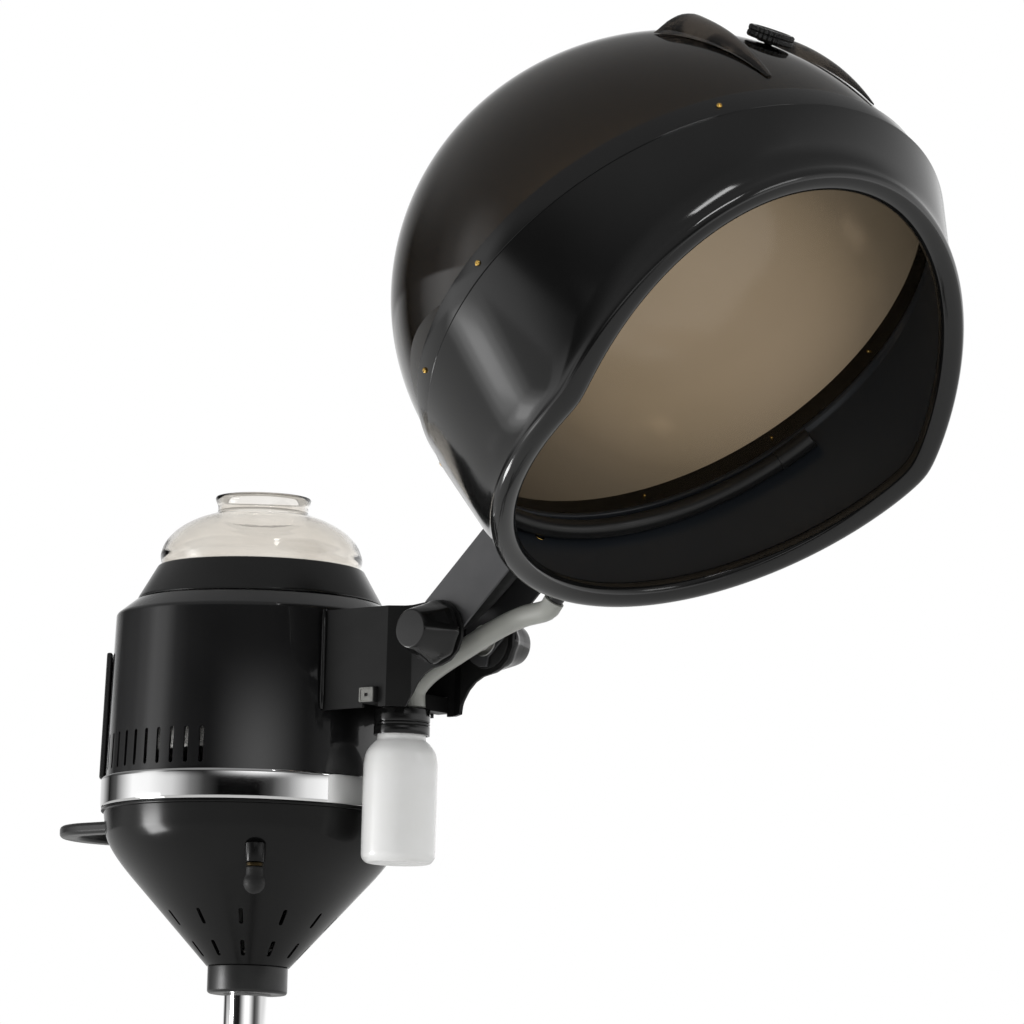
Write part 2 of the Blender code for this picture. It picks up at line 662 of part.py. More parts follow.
def lower_bowl(mat):
    """The vented cone that holds the unit on the pole, with a bead under the chrome band."""
    rim = BOWL_RIM_RADIUS
    bead = BAND_RADIUS - 2 * GAP
    bore = POLE_RADIUS + BORE_PLAY
    inner = bowl_outline(BOWL_WALL, 2)
    profile = ([(rim, BOWL_TOP), (rim, BAND_BOTTOM - GAP), (bead, BAND_BOTTOM - GAP),
                (bead, BAND_BOTTOM - BEAD_HEIGHT)]
               + bowl_outline(0.0, 4) + [(bore, BOWL_FOOT), (bore, BOWL_FOOT + BOWL_WALL)]
               + list(reversed(inner)) + [(rim - BOWL_WALL, BAND_BOTTOM), (rim - BOWL_WALL, BOWL_TOP)])
    bowl = turned("lower_bowl", profile, mat["moulded_black"], steps=2 * BOWL_SLOT_COUNT)
    boss_bottom = COLLAR_UNDERSIDE + DRAIN_BOSS_BOTTOM
    spot = polar(DRAIN_OFFSET, DRAIN_AZIMUTH)
    fuse(bowl, pin("drain_boss", DRAIN_BOSS_RADIUS, spot + Vector((0, 0, boss_bottom)),
                   spot + Vector((0, 0, boss_bottom + 0.014)), sides=10))
    cut(bowl, pin("drain_bore", NIPPLE_RADIUS + BORE_PLAY, spot + Vector((0, 0, boss_bottom - 0.01)),
                  spot + Vector((0, 0, boss_bottom + 0.03))))
    cut(bowl, bowl_slots())
    cut(bowl, gland_bore())
    return bowl


def bowl_slots():
    """Two rings of slots, each slot along the cone's slope."""
    shape = bmesh.new()
    slope = math.atan2(BOWL_CONE_HEIGHT, BOWL_CONE_TOP_RADIUS - BOWL_FOOT_RADIUS)
    for lift in BOWL_SLOT_ROWS:
        z = BOWL_FOOT + lift
        for i in range(BOWL_SLOT_COUNT):
            angle = BOWL_SLOT_TURN + math.tau * i / BOWL_SLOT_COUNT
            size = Matrix.Diagonal((BOWL_SLOT_LENGTH, BOWL_SLOT_WIDTH, 6 * BOWL_WALL, 1.0))
            place = (Matrix.Rotation(angle, 4, "Z") @ at(bowl_cone_radius(z), 0, z, -slope, "Y") @ size)
            bmesh.ops.create_cube(shape, size=1.0, matrix=place)
    return add("bowl_slot_cutter", mesh_of(shape, "bowl_slot_cutter"), None)


def gland_place():
    """The mains inlet's frame between two slots at the back of the bowl, Z out of the cone."""
    z = BOWL_FOOT + GLAND_LIFT
    slope = math.atan2(BOWL_CONE_TOP_RADIUS - BOWL_FOOT_RADIUS, BOWL_CONE_HEIGHT)
    out = Vector((math.cos(slope), 0, -math.sin(slope)))
    tilt = out.to_track_quat("Z", "Y").to_matrix().to_4x4()
    return Matrix.Rotation(GLAND_ANGLE, 4, "Z") @ Matrix.Translation((bowl_cone_radius(z), 0, z)) @ tilt


def gland_bore():
    place = gland_place()
    radius = GLAND_RADIUS * 0.72 + BORE_PLAY
    return pin("gland_bore", radius, place @ Vector((0, 0, -0.02)), place @ Vector((0, 0, 0.02)), sides=10)


def mains_inlet(mat):
    neck = GLAND_RADIUS * 0.72
    inside = 2 * BOWL_WALL
    turned("mains_inlet", [
        (GLAND_RADIUS * 0.8, GLAND_LENGTH), (GLAND_RADIUS, GLAND_LENGTH - 0.004), (GLAND_RADIUS, 0.0016),
        (neck, 0.0016), (neck, -inside), (GLAND_BORE, -inside), (GLAND_BORE, GLAND_LENGTH)],
        mat["moulded_black"], place=gland_place(), steps=STEPS_SMALL)


def pole_fittings(mat):
    bore = POLE_RADIUS + BORE_PLAY
    top = COLLAR_UNDERSIDE + COLLAR_HEIGHT
    turned("pole_collar", [
        (COLLAR_RADIUS, top), (COLLAR_RADIUS, COLLAR_UNDERSIDE + EASE),
        (COLLAR_RADIUS - EASE, COLLAR_UNDERSIDE), (bore, COLLAR_UNDERSIDE), (bore, top)],
        mat["satin_black"], steps=STEPS_MIDDLE)
    seat = BOWL_FOOT + BOWL_WALL + GAP
    roof = POLE_TOP + GAP
    outer = bore + SOCKET_WALL
    turned("pole_socket", [
        (0.0, roof + SOCKET_WALL), (outer, roof + SOCKET_WALL), (outer, seat + SOCKET_WALL),
        (outer + 0.004, seat + SOCKET_WALL), (outer + 0.004, seat), (bore, seat), (bore, roof), (0.0, roof)],
        mat["steel"], steps=STEPS_MIDDLE, closed=False)


def drain(mat):
    """A brass nipple under the bowl and the rubber cap pushed over it."""
    spot = polar(DRAIN_OFFSET, DRAIN_AZIMUTH)
    top = COLLAR_UNDERSIDE + DRAIN_BOSS_BOTTOM
    axis = frame("drain_axis", place=Matrix.Translation(spot))
    nut_top = top - GAP
    nut_bottom = nut_top - NIPPLE_NUT_HEIGHT
    end = nut_bottom - NIPPLE_LENGTH
    bore = NIPPLE_RADIUS * 0.5
    turned("drain_nipple", [
        (NIPPLE_RADIUS, top + 0.012), (NIPPLE_RADIUS, nut_top), (NIPPLE_NUT_RADIUS, nut_top),
        (NIPPLE_NUT_RADIUS, nut_bottom), (NIPPLE_RADIUS, nut_bottom), (NIPPLE_RADIUS, end), (bore, end),
        (bore, top + 0.012)], mat["brass"], axis, steps=STEPS_SMALL)
    cap_top = nut_bottom - GAP
    cap_end = cap_top - CAP_LENGTH
    sleeve = NIPPLE_RADIUS + GAP
    middle = cap_top - CAP_LENGTH * 0.58
    side = arc((0.0, middle), CAP_BULB_RADIUS, math.radians(38), math.radians(-90), 5)
    stretch = (middle - cap_end) / CAP_BULB_RADIUS
    bulb = [(radius, middle + (height - middle) * (stretch if height < middle else 1.0))
            for radius, height in side]
    bulb[-1] = (0.0, cap_end)
    turned("drain_cap", [
        (0.0, end - GAP), (sleeve, end - GAP), (sleeve, cap_top), (NIPPLE_NUT_RADIUS, cap_top),
        (NIPPLE_NUT_RADIUS, cap_top - 0.003)] + bulb, mat["rubber"], axis, steps=STEPS_SMALL, closed=False)


def rear_handle(mat):
    """A flat loop at the back, its two ends shaped to the bowl."""
    seat = bowl_top_radius(HANDLE_TOP) + GAP
    inner = HANDLE_HALF_WIDTH - HANDLE_BAR
    centre = (-(HANDLE_REACH - HANDLE_HALF_WIDTH), 0.0)
    outline = ([(-math.sqrt(seat ** 2 - HANDLE_HALF_WIDTH ** 2), HANDLE_HALF_WIDTH)]
               + arc(centre, HANDLE_HALF_WIDTH, math.pi / 2, 1.5 * math.pi, 10)
               + [(-math.sqrt(seat ** 2 - HANDLE_HALF_WIDTH ** 2), -HANDLE_HALF_WIDTH),
                  (-math.sqrt(seat ** 2 - inner ** 2), -inner)]
               + arc(centre, inner, 1.5 * math.pi, math.pi / 2, 8)
               + [(-math.sqrt(seat ** 2 - inner ** 2), inner)])
    handle = slab("rear_handle", outline, HANDLE_THICKNESS, mat["moulded_black"],
                  place=at(z=HANDLE_TOP - HANDLE_THICKNESS))
    edge = handle.modifiers.new("soft_edge", "BEVEL")
    edge.width = HANDLE_THICKNESS * 0.25
    edge.segments = 1
    return handle


def bowl_top_radius(z):
    """The bowl's outside radius on its steep upper side."""
    low, high = BOWL_FOOT + BOWL_CONE_HEIGHT, BAND_BOTTOM - BEAD_FOOT
    return BOWL_CONE_TOP_RADIUS + (BOWL_TOP_RADIUS - BOWL_CONE_TOP_RADIUS) * (z - low) / (high - low)


def body_shell(mat):
    """The enamelled cylinder with a sloped shoulder and vents round both sides."""
    lip = SHELL_TOP - SHELL_WALL
    inside = SHELL_TOP_RADIUS - SHELL_WALL
    shell = turned("body_shell", [
        (SHELL_MOUTH_RADIUS, SHELL_TOP), (RING_FOOT_RADIUS + 0.001, SHELL_TOP),
        (SHELL_TOP_RADIUS - 0.002, SHELL_SHOULDER + 0.0015), (SHELL_TOP_RADIUS, SHELL_SHOULDER - 0.001),
        (SHELL_FOOT_RADIUS, SHELL_BOTTOM), (SHELL_FOOT_RADIUS - SHELL_WALL, SHELL_BOTTOM),
        (inside, SHELL_SHOULDER - 0.002), (RING_FOOT_RADIUS, lip), (SHELL_MOUTH_RADIUS, lip)],
        mat["gloss_black"], steps=STEPS_LARGE)
    cut(shell, vent_slots())
    cut(shell, pin("steam_bore", STEAM_TUBE_RADIUS + BORE_PLAY, (SHELL_TOP_RADIUS - 0.02, 0, STEAM_TUBE_Z),
                   (SHELL_TOP_RADIUS + 0.01, 0, STEAM_TUBE_Z), sides=10))
    return shell


def vent_slots():
    """Upright slots with round ends, cut towards the axis."""
    shape = bmesh.new()
    half = VENT_WIDTH / 2
    low = BAND_TOP + VENT_LIFT + half
    high = low + VENT_LENGTH - VENT_WIDTH
    outline = arc((0, high), half, 0, math.pi, 3) + arc((0, low), half, math.pi, math.tau, 3)
    for side in (1, -1):
        for i in range(VENT_COUNT):
            turn = Matrix.Rotation(side * (VENT_FIRST + i * VENT_PITCH), 4, "Z")
            rings = [[shape.verts.new(turn @ Vector((radius, y, z))) for y, z in outline]
                     for radius in (SHELL_TOP_RADIUS - 0.012, BAND_RADIUS + 0.01)]
            bmesh.ops.contextual_create(shape, geom=rings[0])
            bmesh.ops.contextual_create(shape, geom=rings[1])
            for j in range(len(outline)):
                k = (j + 1) % len(outline)
                shape.faces.new((rings[0][j], rings[0][k], rings[1][k], rings[1][j]))
    bmesh.ops.recalc_face_normals(shape, faces=shape.faces)
    return add("vent_cutter", mesh_of(shape, "vent_cutter"), None)


def chrome_band(mat):
    inner = BAND_RADIUS - BAND_THICKNESS
    turned("chrome_band", [
        (BAND_RADIUS - EASE / 2, BAND_TOP), (BAND_RADIUS, BAND_TOP - EASE),
        (BAND_RADIUS, BAND_BOTTOM + EASE), (BAND_RADIUS - EASE / 2, BAND_BOTTOM),
        (inner, BAND_BOTTOM), (inner, BAND_TOP)], mat["chrome"], steps=STEPS_LARGE)


def top_cover(mat):
    """The conical ring that holds the glass jar's skirt."""
    top = RING_BOTTOM + RING_HEIGHT
    bore = JAR_RADIUS + GAP
    foot_bore = RING_FOOT_RADIUS - RING_WALL
    turned("top_ring", [
        (RING_TOP_RADIUS, top), (RING_FOOT_RADIUS, RING_BOTTOM + EASE), (RING_FOOT_RADIUS, RING_BOTTOM),
        (foot_bore, RING_BOTTOM), (foot_bore, FLANGE_TOP + GAP + GASKET_THICKNESS),
        (bore, top - 0.006), (bore, top)], mat["gloss_black"], steps=STEPS_LARGE)
    gasket_low = FLANGE_TOP + GAP
    turned("jar_gasket", [
        (JAR_RADIUS + 0.003, gasket_low + GASKET_THICKNESS), (JAR_RADIUS + 0.003, gasket_low),
        (JAR_RADIUS - 2 * JAR_WALL, gasket_low), (JAR_RADIUS - 2 * JAR_WALL, gasket_low + GASKET_THICKNESS)],
        mat["rubber"], steps=STEPS_MIDDLE)


def jar_side(inset):
    """The jar's outline from lip to foot, moved in by the wall where asked."""
    shoulder = JAR_BOTTOM + JAR_SKIRT
    neck_foot = shoulder + JAR_SHOULDER
    reach = JAR_RADIUS - JAR_NECK_RADIUS
    neck = [(JAR_NECK_RADIUS - inset, neck_foot + JAR_NECK_HEIGHT * 0.6),
            (JAR_NECK_RADIUS - inset, neck_foot + JAR_NECK_HEIGHT * 0.15)]
    sweep = []
    for i in range(1, 6):
        a = math.radians(90 - 90 * i / 5)
        sweep.append((JAR_NECK_RADIUS + (reach - inset) * math.cos(a) ** 0.75,
                      shoulder + (JAR_SHOULDER - inset) * math.sin(a) ** 0.85))
    return neck + sweep


def glass_jar(mat):
    """A squat bulb of glass with an open neck, standing on its gasket."""
    top = JAR_BOTTOM + JAR_SKIRT + JAR_SHOULDER + JAR_NECK_HEIGHT
    lip = JAR_NECK_RADIUS + JAR_LIP
    outside = [(lip - 0.001, top), (lip, top - 0.0015), (lip - 0.0005, top - 0.004)] + jar_side(0.0)
    inside = list(reversed(jar_side(JAR_WALL)))
    profile = (outside + [(JAR_RADIUS, JAR_BOTTOM), (JAR_RADIUS - JAR_WALL, JAR_BOTTOM)] + inside
               + [(JAR_NECK_RADIUS - JAR_WALL + 0.0008, top)])
    turned("glass_jar", profile, mat["glass"], steps=STEPS_LARGE)


def boiler(mat):
    """The water tank under the jar, with its heating loop and thermostat."""
    flange = BOILER_RADIUS + BOILER_FLANGE
    low = SHELL_TOP - BOILER_DEPTH
    seat = SHELL_TOP + GAP
    bore = BOILER_RADIUS - BOILER_WALL
    tank = turned("boiler_tank", [
        (0.0, low + BOILER_WALL), (bore, low + BOILER_WALL), (bore, FLANGE_TOP), (flange, FLANGE_TOP),
        (flange, seat), (BOILER_RADIUS, seat), (BOILER_RADIUS, low), (0.0, low)],
        mat["steel"], steps=STEPS_MIDDLE, closed=False)
    cut(tank, pin("outlet_hole", STEAM_TUBE_RADIUS - 2 * STEAM_TUBE_WALL,
                  (BOILER_RADIUS - 2 * CLEAR, 0, STEAM_TUBE_Z), (BOILER_RADIUS + 2 * CLEAR, 0, STEAM_TUBE_Z)))
    floor = low + BOILER_WALL
    count = 16
    ring = [polar(HEATER_RADIUS, HEATER_START + HEATER_SWEEP * i / count, floor + HEATER_LIFT)
            for i in range(count + 1)]
    feet = [Vector((ring[0].x, ring[0].y, floor + GAP)), Vector((ring[-1].x, ring[-1].y, floor + GAP))]
    tube("heating_element", [feet[0]] + ring + [feet[1]], HEATER_TUBE, mat["steel"], 1)
    roof = low - GAP
    step = roof - THERMOSTAT_HEIGHT * 0.4
    waist = THERMOSTAT_RADIUS * 0.7
    turned("thermostat", [
        (0.0, roof), (THERMOSTAT_RADIUS, roof), (THERMOSTAT_RADIUS, step), (waist, step),
        (waist, roof - THERMOSTAT_HEIGHT), (0.0, roof - THERMOSTAT_HEIGHT)],
        mat["moulded_black"], steps=STEPS_SMALL, closed=False)


def steam_outlet(mat):
    """The tube that takes steam from the boiler into the arm bracket."""
    start = BOILER_RADIUS + GAP
    bore = STEAM_TUBE_RADIUS - STEAM_TUBE_WALL
    turned("steam_outlet", [
        (STEAM_TUBE_RADIUS, STEAM_TUBE_END), (STEAM_TUBE_RADIUS, start + OVERLAP), (bore, start + OVERLAP),
        (bore, STEAM_TUBE_END)], mat["steel"],
        place=at(0, 0, STEAM_TUBE_Z, math.pi / 2, "Y"), steps=STEPS_SMALL)


def control_panel(mat):
    """A curved plate on the back of the shell, with a timer, a rocker switch and a lamp."""
    low = BAND_TOP + GAP
    count = 10
    step = 2 * PANEL_HALF_ANGLE / count
    angles = [math.pi - PANEL_HALF_ANGLE + step * i for i in range(count + 1)]
    loops = []
    for z in (low, low + PANEL_HEIGHT):
        seat = (shell_radius(z) + GAP) / math.cos(step / 2)
        face = seat + PANEL_THICKNESS
        loops.append([polar(face, a, z) for a in angles] + [polar(seat, a, z) for a in reversed(angles)])
    panel = loft("control_panel", loops, mat["moulded_black"])
    middle = low + PANEL_HEIGHT * CONTROLS_LIFT
    face = shell_radius(middle) + GAP + PANEL_THICKNESS
    seat = shell_radius(middle) + GAP
    timer = frame("timer_axis", place=panel_place(0.0, middle))
    cut(panel, pin("timer_bore", TIMER_SHAFT + BORE_PLAY, (seat - 0.004, 0, 0), (face + 0.01, 0, 0), timer))
    turned("timer_knob", [
        (0.0, face + TIMER_LENGTH), (TIMER_RADIUS * 0.78, face + TIMER_LENGTH),
        (TIMER_RADIUS * 0.84, face + TIMER_LENGTH - 0.002), (TIMER_RADIUS * 0.9, face + 0.005),
        (TIMER_RADIUS, face + 0.004), (TIMER_RADIUS, face + GAP + 0.0012), (TIMER_SHAFT, face + GAP + 0.0012),
        (TIMER_SHAFT, seat + GAP), (0.0, seat + GAP)], mat["moulded_black"],
        timer, Matrix.Rotation(math.pi / 2, 4, "Y"), STEPS_MIDDLE, False)
    switch = frame("switch_axis", place=panel_place(SWITCH_OFFSET, middle))
    hole = box("switch_hole", (seat - CLEAR, face + CLEAR), SWITCH_WIDTH / 2 + BORE_PLAY,
               SWITCH_HEIGHT / 2 + BORE_PLAY, switch)
    cut(panel, hole)
    rocker(mat, switch, seat, face)
    lamp = frame("lamp_axis", place=panel_place(-SWITCH_OFFSET, middle))
    cut(panel, pin("lamp_bore", LAMP_RADIUS + BORE_PLAY, (seat - CLEAR, 0, 0), (face + CLEAR, 0, 0), lamp))
    turned("indicator_lamp", [
        (0.0, face + LAMP_PROUD), (LAMP_RADIUS * 0.7, face + LAMP_PROUD * 0.8),
        (LAMP_RADIUS, face + LAMP_PROUD * 0.2), (LAMP_RADIUS, seat + GAP), (0.0, seat + GAP)],
        mat["amber"], lamp, Matrix.Rotation(math.pi / 2, 4, "Y"), STEPS_SMALL, False)


def panel_place(offset, z):
    """A frame on the pole's axis whose X points out of the back panel."""
    return Matrix.Translation((0, 0, z)) @ Matrix.Rotation(math.pi + offset, 4, "Z")


def box(name, depth, half_width, half_height, parent):
    """A helper block between two distances along X."""
    shape = bmesh.new()
    size = Matrix.Diagonal((depth[1] - depth[0], 2 * half_width, 2 * half_height, 1.0))
    middle = Matrix.Translation(((depth[0] + depth[1]) / 2, 0, 0))
    bmesh.ops.create_cube(shape, size=1.0, matrix=middle @ size)
    return helper(add(name, mesh_of(shape, name), None, parent))


def rocker(mat, switch, seat, face):
    """A rocker that tips about a cross axis in the panel's face, one half proud."""
    half = SWITCH_HEIGHT / 2
    outline = [(seat + 0.0022, -half + 0.0015), (face + SWITCH_PROUD, -half + 0.001), (face + 0.0012, 0.0),
               (face + 0.0008, half - 0.001), (seat + 0.0022, half - 0.0015)]
    slab("power_switch", outline, SWITCH_WIDTH, mat["moulded_black"], switch,
         Matrix.Translation((0, SWITCH_WIDTH / 2, 0)) @ Matrix.Rotation(math.pi / 2, 4, "X"))


# Arm bracket and bottle

def cheek_offset(x, outer):
    """How far the cheek stands from the middle: wide at the box, drawn in at the ears."""
    share = min(1.0, max(0.0, (x - BEND_START) / EAR_BEND))
    return outer + (EAR_OUTER - outer) * share


def cheek_outline():
    """One cheek from the side, counter-clockwise, with a notch for the bottle bar."""
    rear_low = math.sqrt(shell_radius(BRACKET_BOTTOM) ** 2 - (BRACKET_HALF_WIDTH - SHEET) ** 2) + 2 * GAP
    rear_high = math.sqrt(shell_radius(BRACKET_TOP) ** 2 - (BRACKET_HALF_WIDTH - SHEET) ** 2) + 2 * GAP
    notch = BAR_WIDTH / 2 + GAP
    notch_top = BAR_BOTTOM + BAR_HEIGHT + GAP
    ear = arc((PIVOT_X, PIVOT_Z), EAR_RADIUS, math.radians(-80), math.radians(100), 8)
    sweep_to = ear[0]
    front_low = (BRACKET_FRONT + 0.002, BRACKET_BOTTOM)
    bend = (BRACKET_FRONT + 0.010, sweep_to[1] - 0.002)
    hollow = []
    for i in range(1, 5):
        t = i / 5
        hollow.append(((1 - t) ** 2 * front_low[0] + 2 * t * (1 - t) * bend[0] + t * t * sweep_to[0],
                       (1 - t) ** 2 * front_low[1] + 2 * t * (1 - t) * bend[1] + t * t * sweep_to[1]))
    return ([(rear_high, BRACKET_TOP), (rear_low, BRACKET_BOTTOM), (BAR_X - notch, BRACKET_BOTTOM),
             (BAR_X - notch, notch_top), (BAR_X + notch, notch_top), (BAR_X + notch, BRACKET_BOTTOM),
             front_low] + hollow + ear + [(BRACKET_FRONT, BRACKET_TOP)])


def arm_bracket(mat):
    """Folded sheet: a top plate and two cheeks that draw in to round ears."""
    shape = bmesh.new()
    corners = {}
    for side in (1, -1):
        verts = [shape.verts.new((x, side, z)) for x, z in cheek_outline()]
        shape.faces.new(verts)
        corners[side] = (verts[0], verts[-1])
    seat = shell_radius(BRACKET_TOP - SHEET) + 2 * GAP
    rear = []
    for share in (-0.75, -0.4, 0.0, 0.4, 0.75):
        x = math.sqrt(seat ** 2 - (share * BRACKET_HALF_WIDTH) ** 2)
        rear.append(shape.verts.new((x, share, BRACKET_TOP)))
    shape.faces.new([corners[1][0], corners[1][1], corners[-1][1], corners[-1][0]] + rear)
    for x in (BEND_START, BEND_START + EAR_BEND):
        bmesh.ops.bisect_plane(shape, geom=shape.verts[:] + shape.edges[:] + shape.faces[:],
                               plane_co=(x, 0, 0), plane_no=(1, 0, 0), dist=1e-6)
    for vert in shape.verts:
        vert.co.y *= cheek_offset(vert.co.x, BRACKET_HALF_WIDTH)
    bmesh.ops.recalc_face_normals(shape, faces=shape.faces)
    bracket = add("arm_bracket", mesh_of(shape, "arm_bracket"), mat["satin_black"])
    thick = bracket.modifiers.new("sheet", "SOLIDIFY")
    thick.thickness = SHEET
    thick.offset = -1.0
    thick.use_even_offset = True
    reach = BRACKET_HALF_WIDTH + CLEAR
    cut(bracket, pin("ear_bore", PIVOT_STUD_RADIUS + BORE_PLAY, (PIVOT_X, -reach, PIVOT_Z),
                     (PIVOT_X, reach, PIVOT_Z)))
    return bracket


def bottle_bar(mat):
    half = BRACKET_HALF_WIDTH + BAR_OVERHANG
    side = BAR_WIDTH / 2
    outline = [(-side, 0), (side, 0), (side, BAR_HEIGHT), (-side, BAR_HEIGHT)]
    bar = slab("bottle_bar", outline, 2 * half, mat["satin_black"],
               place=at(BAR_X, half, BAR_BOTTOM, math.pi / 2, "X"))
    x = BOTTLE_X + BARB_X
    cut(bar, pin("barb_room", BARB_RADIUS + DRAIN_HOSE_RADIUS, (x, 0, BAR_BOTTOM - CLEAR),
                 (x, 0, BAR_BOTTOM + BAR_HEIGHT + CLEAR), sides=10))
    return bar


def bottle(mat):
    """A ribbed screw cap under the bar and the catch bottle that hangs in it."""
    low = CAP_TOP - CAP_HEIGHT
    bore = CAP_RADIUS - CAP_WALL
    rib = CAP_RADIUS - CAP_RIB
    step = CAP_HEIGHT / 7
    roof = CAP_TOP - CAP_TOP_WALL
    axis = frame("bottle_axis", place=at(BOTTLE_X))
    cap = turned("bottle_cap", [
        (0.0, CAP_TOP), (CAP_RADIUS - CAP_RIB, CAP_TOP), (CAP_RADIUS, CAP_TOP - CAP_RIB),
        (CAP_RADIUS, CAP_TOP - 2 * step), (rib, CAP_TOP - 2.5 * step), (CAP_RADIUS, CAP_TOP - 3 * step),
        (CAP_RADIUS, CAP_TOP - 4 * step), (rib, CAP_TOP - 4.5 * step), (CAP_RADIUS, CAP_TOP - 5 * step),
        (CAP_RADIUS, low), (bore, low), (bore, roof), (0.0, roof)],
        mat["moulded_black"], axis, steps=STEPS_MIDDLE, closed=False)
    fuse(cap, pin("cap_barb", BARB_RADIUS, (BARB_X, 0, CAP_TOP - OVERLAP),
                  (BARB_X, 0, CAP_TOP + BARB_HEIGHT), axis))
    cut(cap, pin("cap_hole", BARB_RADIUS * 0.6, (BARB_X, 0, CAP_TOP - CLEAR),
                 (BARB_X, 0, CAP_TOP + BARB_HEIGHT + CLEAR), axis, 8))
    mouth = CAP_TOP - CAP_TOP_WALL - GAP
    neck_low = mouth - BOTTLE_NECK_HEIGHT
    side = neck_low - BOTTLE_SHOULDER
    foot = side - BOTTLE_BODY
    inside = list(reversed(bottle_side(BOTTLE_WALL, mouth, neck_low, side, foot)))
    turned("bottle", inside + bottle_side(0.0, mouth, neck_low, side, foot), mat["milky"], axis,
           steps=STEPS_MIDDLE, closed=False)


def bottle_side(inset, mouth, neck_low, side, foot):
    """The bottle's outline from mouth to the middle of its floor."""
    reach = BOTTLE_RADIUS - BOTTLE_NECK_RADIUS
    shoulder = []
    for i in range(5):
        a = math.radians(90 * i / 4)
        shoulder.append((BOTTLE_NECK_RADIUS + reach * math.sin(a) - inset,
                         side + BOTTLE_SHOULDER * math.cos(a) ** 1.2 - inset * math.cos(a)))
    base = foot + inset
    return ([(BOTTLE_NECK_RADIUS - inset, mouth), (BOTTLE_NECK_RADIUS - inset, neck_low)] + shoulder[1:]
            + [(BOTTLE_RADIUS - inset, base + 0.005), (BOTTLE_RADIUS - 0.0015 - inset, base + 0.0015),
               (BOTTLE_RADIUS - 0.005 - inset, base), (0.0, base)])


# Tilting arm

def pivot_place():
    return at(PIVOT_X, 0, PIVOT_Z, -HOOD_TILT, "Y")


def clamp_knobs(mat, pivot):
    """On each side a clamp knob with its stud, a friction disc and the nut inside the arm."""
    inside = ARM_HALF_WIDTH - ARM_SHEET - GAP
    nut_face = inside - WASHER_THICKNESS
    for side, word in ((-1, "near"), (1, "far")):
        place = at(PIVOT_X, 0, PIVOT_Z, -side * math.pi / 2, "X")
        axis = frame(f"clamp_{word}_axis", place=place)
        seat = EAR_OUTER + GAP
        face = seat + KNOB_LENGTH
        skirt = seat + KNOB_SKIRT_LENGTH
        end = nut_face - NUT_HEIGHT - STUD_END
        turned(f"clamp_knob_{word}", [
            (0.0, face), (KNOB_FACE_RADIUS - 0.001, face), (KNOB_FACE_RADIUS, face - 0.001),
            (KNOB_RADIUS - 0.002, face - 0.0042), (KNOB_RADIUS, face - 0.0065), (KNOB_RADIUS, skirt + 0.005),
            (KNOB_RADIUS - 0.0012, skirt + 0.003), (KNOB_SKIRT_RADIUS, skirt), (KNOB_SKIRT_RADIUS, seat),
            (PIVOT_STUD_RADIUS, seat), (PIVOT_STUD_RADIUS, end), (0.0, end)],
            mat["moulded_black"], axis, steps=STEPS_MIDDLE, closed=False)
        bore = PIVOT_STUD_RADIUS + BORE_PLAY
        low = ARM_HALF_WIDTH + GAP
        turned(f"friction_disc_{word}", [
            (DISC_RADIUS, low + DISC_THICKNESS), (DISC_RADIUS, low), (bore, low),
            (bore, low + DISC_THICKNESS)], mat["rubber"], axis, steps=STEPS_MIDDLE)
        turned(f"pivot_nut_{word}", [
            (WASHER_RADIUS, inside), (WASHER_RADIUS, nut_face), (NUT_RADIUS, nut_face),
            (NUT_RADIUS, nut_face - NUT_HEIGHT), (bore, nut_face - NUT_HEIGHT), (bore, inside)],
            mat["steel"], pivot, pivot_place().inverted() @ place, STEPS_SMALL)


def arm_channel(mat, pivot):
    """Folded sheet channel, open below, with round ends at the pivot."""
    end = arc((0.0, 0.0), ARM_END_RADIUS, math.radians(235), math.radians(125), 5)
    start = [(-ARM_END_RADIUS * 0.3, ARM_BOTTOM), (ARM_LENGTH, ARM_BOTTOM), (ARM_LENGTH, ARM_TOP),
             (ARM_END_RADIUS * 0.2, ARM_TOP)]
    outline = start + list(reversed(end))
    shape = bmesh.new()
    edges = {}
    for side in (1, -1):
        verts = [shape.verts.new((x, side * ARM_HALF_WIDTH, z)) for x, z in outline]
        shape.faces.new(verts)
        edges[side] = (verts[2], verts[3])
    shape.faces.new((edges[1][0], edges[1][1], edges[-1][1], edges[-1][0]))
    bmesh.ops.recalc_face_normals(shape, faces=shape.faces)
    arm = add("arm_channel", mesh_of(shape, "arm_channel"), mat["grey_sheet"], pivot)
    thick = arm.modifiers.new("sheet", "SOLIDIFY")
    thick.thickness = ARM_SHEET
    thick.offset = -1.0
    thick.use_even_offset = True
    cut(arm, pin("arm_bore", PIVOT_STUD_RADIUS + BORE_PLAY, (0, -0.04, 0), (0, 0.04, 0), pivot))
    return arm


# Hood

def rim_depth(x):
    """How far the rim's middle line lies below the dome's edge.

    Two straight runs that meet in a soft bend at the temples give the rim its wave.
    """
    front = (RIM_DEPTH_FOREHEAD - RIM_DEPTH_TEMPLE) / (RIM_SHIFT + RIM_HALF_LENGTH - RIM_TEMPLE_X)
    back = (RIM_DEPTH_TEMPLE - RIM_DEPTH_NAPE) / (RIM_TEMPLE_X - (RIM_SHIFT - RIM_HALF_LENGTH))
    run = x - RIM_TEMPLE_X
    bend = math.hypot(run, RIM_TEMPLE_ROUND)
    return RIM_DEPTH_TEMPLE + (front + back) / 2 * run + (front - back) / 2 * bend


def oval(angle, out=0.0):
    """A point of the hood's oval, moved out square to it."""
    point = Vector((HOOD_HALF_LENGTH * math.cos(angle), HOOD_HALF_WIDTH * math.sin(angle)))
    return point + oval_normal(angle) * out


def oval_normal(angle):
    return Vector((math.cos(angle) / HOOD_HALF_LENGTH, math.sin(angle) / HOOD_HALF_WIDTH)).normalized()


